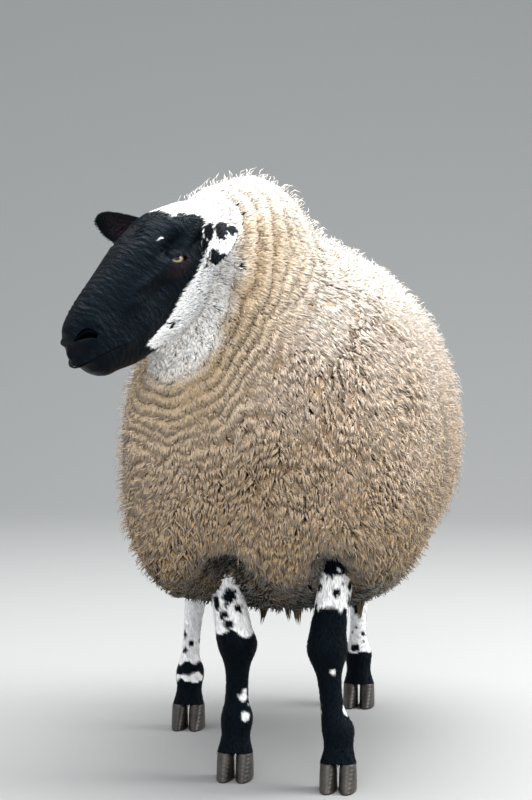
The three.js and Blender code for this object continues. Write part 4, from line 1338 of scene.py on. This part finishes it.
def horn_material(colour):
    """Dark horn with level growth rings."""
    finish, tree, shader = new_material("hoof_horn", roughness=0.45)
    place = own_place(tree)
    level = add_noise(tree, place, 60.0, 5.0)
    ramp_colour(tree, shader, level, [(0.35, colour * 0.6), (0.7, np.clip(colour * 1.9, 0, 1))])
    waves = {"Vector": place, "Scale": 55.0, "Distortion": 2.5, "Detail": 2.0}
    rings = add_node(tree, "ShaderNodeTexWave", waves, bands_direction="Z").outputs["Fac"]
    bump = add_node(tree, "ShaderNodeBump", {"Height": rings, "Strength": 0.4, "Distance": 0.6 * MM})
    tree.links.new(bump.outputs["Normal"], shader.inputs["Normal"])
    return finish


def wool_lie(points, normals):
    """The way the wool lies: back along the top, down and a little back on the sides, away from the head on
    the neck, and outwards under the belly, turned a little by smooth noise."""
    top = ease(normals[:, 2], 0.45, 0.9)[:, None]
    below = ease(-normals[:, 2], 0.5, 0.9)[:, None]
    way = mixed(np.array([0, 0.42, -1.0]), np.array([0, 1.0, -0.15]), top)
    sideways = np.sign(points[:, :1]) * np.array([1.0, 0, 0]) + np.array([0, 0.4, -0.4])
    way = mixed(way, sideways, below)
    collar = 1 - ease(throat_distance(points), 120 * MM, 280 * MM)[:, None]
    way = mixed(way, unit(points - on_head(THROAT.mean(0))) + np.array([0, 0, -0.3]), collar)
    swirl = np.stack([ripples(points, 110 * MM, seed) for seed in (51, 52, 53)], -1)
    return flattened(unit(way) + 0.2 * swirl, normals)


def body_unwrap(points):
    """An unwrap of the body's own shape: the angle round its long axis, and the run from the chest along the
    side, as distance out from that axis in front, then along it, then back in to it behind."""
    x, y, z = (points - [0, 0, 0.48]).T
    out = np.hypot(x, z)
    return np.stack([np.arctan2(x, z), y + np.where(y < 0, out, 0.52 - out)], -1)


def clear_of_limbs(points, head_limit, leg_limit):
    """Whether points lie farther out from the middles of the head and the legs than their limits."""
    legs = [leg_share(points, rows) > leg_limit for rows in LEGS.values()]
    return (head_share(points) > head_limit) & np.all(legs, 0)


class SHEEP_OT_fleece(bpy.types.Operator):
    """Dense locks in folds and rows, their tips gathered into staples, in bands from head to tail"""
    bl_idname = "sheep.fleece"
    bl_label = "Fleece"
    bands = 7

    def execute(self, context):
        sizes, colours, rng = settings(context, 0)
        tips, normals, triangles, under = made["fleece"]
        fullness = ease(throat_distance(tips), *COLLAR_REACH)
        spacing = mixed(sizes.collar_spacing, sizes.lock_spacing, fullness)
        spacing = spacing * (1 + 0.35 * (normals[:, 2] < -0.7))  # wider below the belly
        chosen, shares = scatter(tips, triangles, 0.55 * spacing, rng)
        places = at_places(tips, triangles, chosen, shares)
        left = thinned(places / at_places(spacing, triangles, chosen, shares)[:, None], 0.72, rng)
        left = left[clear_of_limbs(places, 1.05, 1.0)[left]]
        outer, root, way_out, full = (at_places(values, triangles, chosen[left], shares[left])
                                      for values in (tips, under, normals, fullness))
        way_out = unit(way_out)
        count = len(outer)
        lie = wool_lie(outer, way_out)
        hairy = full * ease(outer[:, 1] + 0.3 * np.abs(outer[:, 0]) - 0.25 * outer[:, 2], -0.35, -0.15)
        turn, height = wool_rows(outer)
        height = height * (1 - 0.65 * hairy)
        phase = turn / (2 * np.pi) % 1
        ridge = mixed(np.abs(np.cos(turn / 2)) ** 0.8, np.interp(phase, [0, 0.22, 1], [1, 0, 1]), full)
        rise = height * (1.8 * ridge - 1) + rng.normal(0, 0.5 * MM, count)
        reach = mixed(sizes.collar_reach, sizes.reach, full) * (1 + 0.3 * hairy)
        to_fold, to_edge = -np.sin(turn) / (2 * np.pi), 0.5 * (1 - phase)
        reach = reach * rng.uniform(0.75, 1.25, count)
        reach = reach + sizes.row_pull * ROW_SPACING * mixed(to_fold, to_edge, full)
        elbow = outer - lie * 2 * MM + way_out * (0.85 * rise - mixed(2.5 * MM, 4.5 * MM, full))[:, None]
        tip = outer + lie * reach[:, None] + way_out * (rise - mixed(0.3 * MM, 1.2 * MM, full))[:, None]
        root = root - lie * 6 * MM - way_out * 1.5 * MM

        middles = thinned(outer, sizes.staple_spacing, rng)
        staple = nearest(outer, outer[middles], lie[middles], 1.4)
        lift = rng.normal(0, 2.8 * MM, len(middles)) * full[middles]
        heads = tip[middles] + way_out[middles] * lift[:, None]
        pull = sizes.staple_pull * rng.uniform(0.6, 1.2, count) * mixed(0.3, 1.0, full) * (1 - 0.4 * hairy)
        tip = mixed(tip, heads[staple], pull[:, None]) + rng.normal(0, 0.7 * MM, tip.shape)
        # the bend that makes the quadratic curve pass through the elbow
        bend = (elbow - (1 - ELBOW) ** 2 * root - ELBOW ** 2 * tip) / (2 * ELBOW * (1 - ELBOW))

        tone = rng.normal(1, 0.04, len(middles))[staple] * rng.normal(1, 0.04, count)
        # darker, warmer wool in the valleys between the rows: partly the yellower wool inside the coat, partly
        # painted shade in the partings
        valley = (1 - ease(ridge, 0.1, 0.7)) * np.minimum(height / (3 * MM), 1)
        colour = wool_colours(outer, colours) * mixed(1, np.array([0.72, 0.6, 0.44]), 0.8 * valley[:, None])
        colour = np.clip(colour * tone[:, None], 0, 0.95)
        width = mixed(sizes.collar_spacing, sizes.lock_spacing, full) * rng.uniform(0.8, 1.2, count)
        width = width * mixed(mixed(1.9, 1.2, full), 1.0, hairy)
        roll = rng.uniform(0, 2 * np.pi, count)
        finish = wool_material("wool", 0.4)
        unwrapped = body_unwrap(outer)
        front_to_back = np.argsort(outer[:, 1], kind="stable")
        for band, part in enumerate(np.array_split(front_to_back, self.bands)):
            arrays = (values[part] for values in (root, bend, tip, way_out, width, colour))
            # the rings darken and warm towards the root: partly the yellower wool deep in the coat, partly
            # painted shade there
            piece = tufts(f"wool_{band + 1}", *arrays, filled(unwrapped[part]), finish, (0.0, ELBOW),
                          (3.2, 1.0), ((0.82, 0.75, 0.66), (0.88, 0.845, 0.8)), 0.75, roll[part])
            finish_piece(piece, "fleece")
        return {"FINISHED"}


class SHEEP_OT_wisps(bpy.types.Operator):
    """Fine wisps that stand out of the fleece and soften its edge all round"""
    bl_idname = "sheep.wisps"
    bl_label = "Wisps"

    def execute(self, context):
        sizes, colours, rng = settings(context, 1)
        outer, way_out = places_on(made["fleece"], sizes.wisp_spacing, rng)
        clear = clear_of_limbs(outer, 1.1, 1.1)
        outer, way_out = outer[clear], way_out[clear]
        lie = wool_lie(outer, way_out)
        count = len(outer)
        below = ease(-way_out[:, 2], 0.45, 0.85)
        length = np.minimum(3 + rng.gamma(1.4, 3.6, count), 16)  # mostly short, a few long
        length = (length * (1 - 0.65 * below) * MM)[:, None]
        aside = flattened(rng.normal(0, 1, (count, 3)), way_out)
        root = outer - way_out * 3 * MM
        bend = outer + way_out * (2 * MM + 0.7 * length) - aside * 0.3 * length
        tip = outer + way_out * (2 * MM + 0.85 * length) + lie * 0.7 * length + aside * 0.6 * length
        colour = np.clip(wool_colours(outer, colours) * 1.1, 0, 0.95)
        width = rng.uniform(1.3, 2.0, count) * MM
        piece = tufts("wool_wisps", root, bend, tip, way_out, width, colour, filled(body_unwrap(outer)),
                      wool_material("wisp_wool", 0.4), (0.0, 0.6), (1.0, 0.85), (0.95, 1.0))
        finish_piece(piece, "fleece")
        return {"FINISHED"}


class SHEEP_OT_short_wool(bpy.types.Operator):
    """White short wool on the back of the head, longer towards the neck"""
    bl_idname = "sheep.short_wool"
    bl_label = "Short wool"

    def execute(self, context):
        sizes, colours, rng = settings(context, 2)
        place, way_out = places_on(made["skin"], SHORT_WOOL_SPACING, rng, made["skin"][3] == FACE)
        white = head_black(place) < 0.5
        place, way_out = place[white], way_out[white]
        places = head_places(place)
        behind = behind_face(places)
        length = mixed(5 * MM, 12 * MM, ease(behind, 0, 50 * MM)) * rng.uniform(0.8, 1.2, len(place))
        lie = flattened(-HEAD_AXES[0] - 0.35 * Z_AXIS + 0.25 * rng.normal(size=place.shape), way_out)
        rise = mixed(0.15, 0.5, ease(behind, 5 * MM, 50 * MM))[:, None]
        root = place - way_out * 0.5 * MM
        tip = place + (lie + way_out * rise) * length[:, None]
        bend = place + (0.3 * lie + 0.8 * rise * way_out) * length[:, None]
        colour = hair_colours(np.zeros(len(place)), colours, place) * rng.normal(1, 0.04, (len(place), 1))
        width = rng.uniform(2.4, 3.4, len(place)) * MM
        piece = tufts("wool_behind_face", root, bend, tip, way_out, width, np.clip(colour, 0, 0.95),
                      filled(head_unwrap(places)), wool_material("short_wool", 0.4))
        finish_piece(piece, "fleece")
        return {"FINISHED"}


def flat_hair(place, way_out, lie, reach, bow, lift):
    """Root, bend and tip of hair along the skin, whose bend and tip stand off by shares of its reach."""
    reach = reach[:, None]
    return (place - way_out * 0.3 * MM, place + (0.5 * lie + bow * way_out) * reach,
            place + (lie + lift * way_out) * reach)


class SHEEP_OT_face_hair(bpy.types.Operator):
    """Short flat hair on face and ears, from the nose back"""
    bl_idname = "sheep.face_hair"
    bl_label = "Face hair"

    def execute(self, context):
        sizes, colours, rng = settings(context, 3)
        finish = hide_material("face_hair", 0.45)
        for name, region, finer, shorter in (("hair_face", FACE, 1, 1), ("hair_ears", EAR, 0.85, 0.8)):
            spacing = finer * sizes.face_spacing
            place, way_out = places_on(made["skin"], spacing, rng, made["skin"][3] == region)
            places = head_places(place)
            black = black_at(place, np.full(len(place), region))
            eye = np.linalg.norm(on_left_side(places) - EYE_PLACE - 14 * MM * Y_AXIS, axis=1)
            lips = (places[:, 0] > 236 * MM) & (np.abs(places[:, 2] + 48 * MM) < 6 * MM)
            keep = (eye > 15 * MM) & ~lips & (places[:, 0] < 262 * MM)
            if region == FACE:
                near_border = np.abs(behind_face(places)) < 20 * MM * rng.random(len(place)) ** 0.5
                keep &= (black > 0.5) & near_border
                backwards = -HEAD_AXES[0] - 0.35 * HEAD_AXES[2]
                lie = flattened(backwards + 0.12 * rng.normal(size=place.shape), way_out)
                unwrapped = head_unwrap(places)
            else:
                side = np.where(places[:, 1] > 0, 1, -1)
                outwards = HEAD_AXES[1] * side[:, None] + 0.5 * HEAD_AXES[0]
                lie = flattened(outwards + 0.2 * rng.normal(size=place.shape), way_out)
                unwrapped = np.stack([places[:, 1] * 1000 + 60 * side * (way_out @ HEAD_AXES[2] > 0),
                                      places[:, 0] * 1000], -1)
            reach = shorter * sizes.face_length * rng.uniform(0.7, 1.2, len(place))
            root, bend, tip = flat_hair(place, way_out, lie, reach, 0.14, 0.08)
            colour = hair_colours(black, colours, place) * rng.normal(1, 0.12, (len(place), 1))
            colour = np.clip(colour, 0, 0.95)
            width = rng.uniform(0.9, 1.5, len(place)) * MM
            arrays = (values[keep] for values in (root, bend, tip, way_out, width, colour, filled(unwrapped)))
            piece = tufts(name, *arrays, finish, flatness=0.4)
            finish_piece(piece, "face")
        return {"FINISHED"}


class SHEEP_OT_leg_hair(bpy.types.Operator):
    """Short flat hair down the legs, over the tops of the hooves"""
    bl_idname = "sheep.leg_hair"
    bl_label = "Leg hair"

    def execute(self, context):
        sizes, colours, rng = settings(context, 4)
        place, way_out = places_on(made["skin"], sizes.leg_spacing, rng, made["skin"][3] == SHANK)
        lie = flattened(-Z_AXIS + 0.12 * rng.normal(size=place.shape), way_out)
        shaggy = ease(place[:, 2], 0.2, 0.3) * 0.5 + 1
        reach = sizes.leg_length * shaggy * rng.uniform(0.7, 1.2, len(place))
        root, bend, tip = flat_hair(place, way_out, lie, reach, 0.2, 0.16)
        tip[:, 2] = np.maximum(tip[:, 2], 31 * MM)  # stays off the lower part of the hooves
        colour = hair_colours(leg_black(place + 0.4 * reach[:, None] * lie), colours, place)
        colour = colour * rng.normal(1, 0.08, (len(place), 1))
        quarter = 2 * (place[:, 0] > 0) + (place[:, 1] > 0)
        shank_names = ("front_right", "hind_right", "front_left", "hind_left")
        middle = np.array([np.mean(LEGS[name][:6, 1:3], 0) for name in shank_names])[quarter]
        angle = np.arctan2(*(place[:, :2] - middle).T) / 7 + quarter
        width = rng.uniform(1.2, 2.0, len(place)) * MM
        piece = tufts("hair_legs", root, bend, tip, way_out, width, np.clip(colour, 0, 0.95),
                      filled(np.stack([angle, place[:, 2]], -1)), hide_material("leg_hair", 0.55),
                      (0.0,), (1.0,), (1.0,), 0.4)
        finish_piece(piece, "shank")
        return {"FINISHED"}


class SHEEP_OT_belly_locks(bpy.types.Operator):
    """Dirty, twisted locks that hang below the belly"""
    bl_idname = "sheep.belly_locks"
    bl_label = "Belly locks"
    strands = 26

    def execute(self, context):
        _, colours, rng = settings(context, 5)
        x, y, top, length, width = np.repeat(BELLY_LOCKS, self.strands, 0).T
        count = len(x)
        turn = np.repeat(1.3 * np.arange(len(BELLY_LOCKS)), self.strands)
        angle, out = rng.uniform(0, 2 * np.pi, count), np.sqrt(rng.random(count))
        aside = np.stack([np.cos(angle), np.sin(angle), 0 * angle], -1) * (out * width / 2)[:, None]
        root = np.stack([x, y, top + 12 * MM], -1) + 1.3 * aside
        sway = np.stack([np.cos(turn), np.sin(turn), 0 * turn], -1) * LOCK_WAVE
        drop = (length * rng.uniform(0.6, 0.98, count))[:, None]
        bend = root - Z_AXIS * 0.55 * drop + 1.6 * sway + 0.3 * aside
        tip = np.stack([x, y, top], -1) - Z_AXIS * drop + sway * np.sin(3 + turn)[:, None] + 0.35 * aside
        share = rng.random((count, 1))
        colour = mixed(linear(colours.dirty_and_shaded_wool), linear(colours.low_wool) * 0.6, share)
        unwrapped = filled(np.stack([x + 0.01 * np.cos(angle) * out, y + 0.01 * np.sin(angle) * out], -1))
        ways_out = np.tile(Y_AXIS, (count, 1))
        piece = tufts("wool_belly_locks", root, bend, tip, ways_out, 0.32 * width, colour, unwrapped,
                      wool_material("belly_wool", 0.2), (0.0, 0.3, 0.6, 0.85), (1.0, 1.0, 0.8, 0.45),
                      (1.0, 1.0, 1.0, 1.0))
        finish_piece(piece, "fleece")
        return {"FINISHED"}


class SHEEP_OT_stage(bpy.types.Operator):
    """Pale floor and backdrop, soft studio light and the camera"""
    bl_idname = "sheep.stage"
    bl_label = "Stage"

    def execute(self, context):
        scene = context.scene
        paper, _, shader = new_material("backdrop", roughness=1.0, specular_ior_level=0.0)
        shader.inputs["Base Color"].default_value = PAPER
        angle = np.radians(np.linspace(0, 90, 31))
        bend = np.stack([SWEEP_START + SWEEP_RADIUS * np.sin(angle), SWEEP_RADIUS * (1 - np.cos(angle))], -1)
        profile = np.concatenate([[[FLOOR_FRONT, 0]], bend, [[SWEEP_START + SWEEP_RADIUS, BACKDROP_TOP]]])
        rows = len(profile)
        sheet = np.concatenate([np.column_stack([np.full(rows, x), profile])
                                for x in (-FLOOR_HALF_WIDTH, FLOOR_HALF_WIDTH)])
        low = np.arange(rows - 1)
        cells = np.stack([low, low + rows, low + rows + 1, low, low + rows + 1, low + 1], -1).reshape(-1, 3)
        new_object("backdrop", sheet, cells, [paper])
        world = scene.world = bpy.data.worlds.new("studio")
        world.use_nodes = True
        world.node_tree.nodes["Background"].inputs["Color"].default_value = SKY
        world.node_tree.nodes["Background"].inputs["Strength"].default_value = 1.0
        origin = frame_origin()
        for name, place, size, power in LIGHTS:
            light = bpy.data.lights.new(name, "AREA")
            light.size, light.energy = size, power
            lamp = bpy.data.objects.new(name, light)
            scene.collection.objects.link(lamp)
            lamp.location = Vector(origin + np.array(place))
            lamp.rotation_mode = "QUATERNION"
            aim = Vector(origin + LIGHTS_AIM * Z_AXIS) - lamp.location
            lamp.rotation_quaternion = aim.to_track_quat("-Z", "Y")
        camera = bpy.data.objects.new("camera", bpy.data.cameras.new("camera"))
        scene.collection.objects.link(camera)
        scene.camera = camera
        heading = np.radians(CAMERA_HEADING)
        right = np.array([np.cos(heading), np.sin(heading), 0])
        place = CAMERA_HEIGHT * Z_AXIS - CAMERA_DISTANCE * np.cross(Z_AXIS, right) - CAMERA_ASIDE * right
        camera.location = Vector(origin + place)
        camera.rotation_euler = (np.radians(90 - CAMERA_DIP), 0, heading)
        camera.data.lens = CAMERA_LENS
        scene.view_settings.view_transform = "Standard"
        return {"FINISHED"}


class SHEEP_PT_panel(bpy.types.Panel):
    """The sheep's pieces and settings"""
    bl_idname = "SHEEP_PT_panel"
    bl_label = "Sheep"
    bl_space_type = "VIEW_3D"
    bl_region_type = "UI"
    bl_category = "Sheep"

    def draw(self, context):
        for operator in OPERATORS:
            self.layout.operator(operator.bl_idname)
        for group in (context.scene.sheep_sizes, context.scene.sheep_colours):
            for name in group.__annotations__:
                self.layout.prop(group, name)


OPERATORS = (SHEEP_OT_skin, SHEEP_OT_eyes, SHEEP_OT_hooves, SHEEP_OT_fleece, SHEEP_OT_wisps,
             SHEEP_OT_short_wool, SHEEP_OT_face_hair, SHEEP_OT_leg_hair, SHEEP_OT_belly_locks, SHEEP_OT_stage)
CLASSES = (SheepSizes, SheepColours, *OPERATORS, SHEEP_PT_panel)


def register():
    """Makes the classes and the scene's settings known."""
    for item in CLASSES:
        bpy.utils.register_class(item)
    bpy.types.Scene.sheep_sizes = PointerProperty(type=SheepSizes)
    bpy.types.Scene.sheep_colours = PointerProperty(type=SheepColours)


def unregister():
    """Takes them away again."""
    del bpy.types.Scene.sheep_sizes
    del bpy.types.Scene.sheep_colours
    for item in reversed(CLASSES):
        bpy.utils.unregister_class(item)


def main():
    """Makes every piece in order."""
    register()
    bpy.ops.sheep.skin()
    bpy.ops.sheep.eyes()
    bpy.ops.sheep.hooves()
    bpy.ops.sheep.fleece()
    bpy.ops.sheep.wisps()
    bpy.ops.sheep.short_wool()
    bpy.ops.sheep.face_hair()
    bpy.ops.sheep.leg_hair()
    bpy.ops.sheep.belly_locks()
    bpy.ops.sheep.stage()


if __name__ == "__main__":
    main()
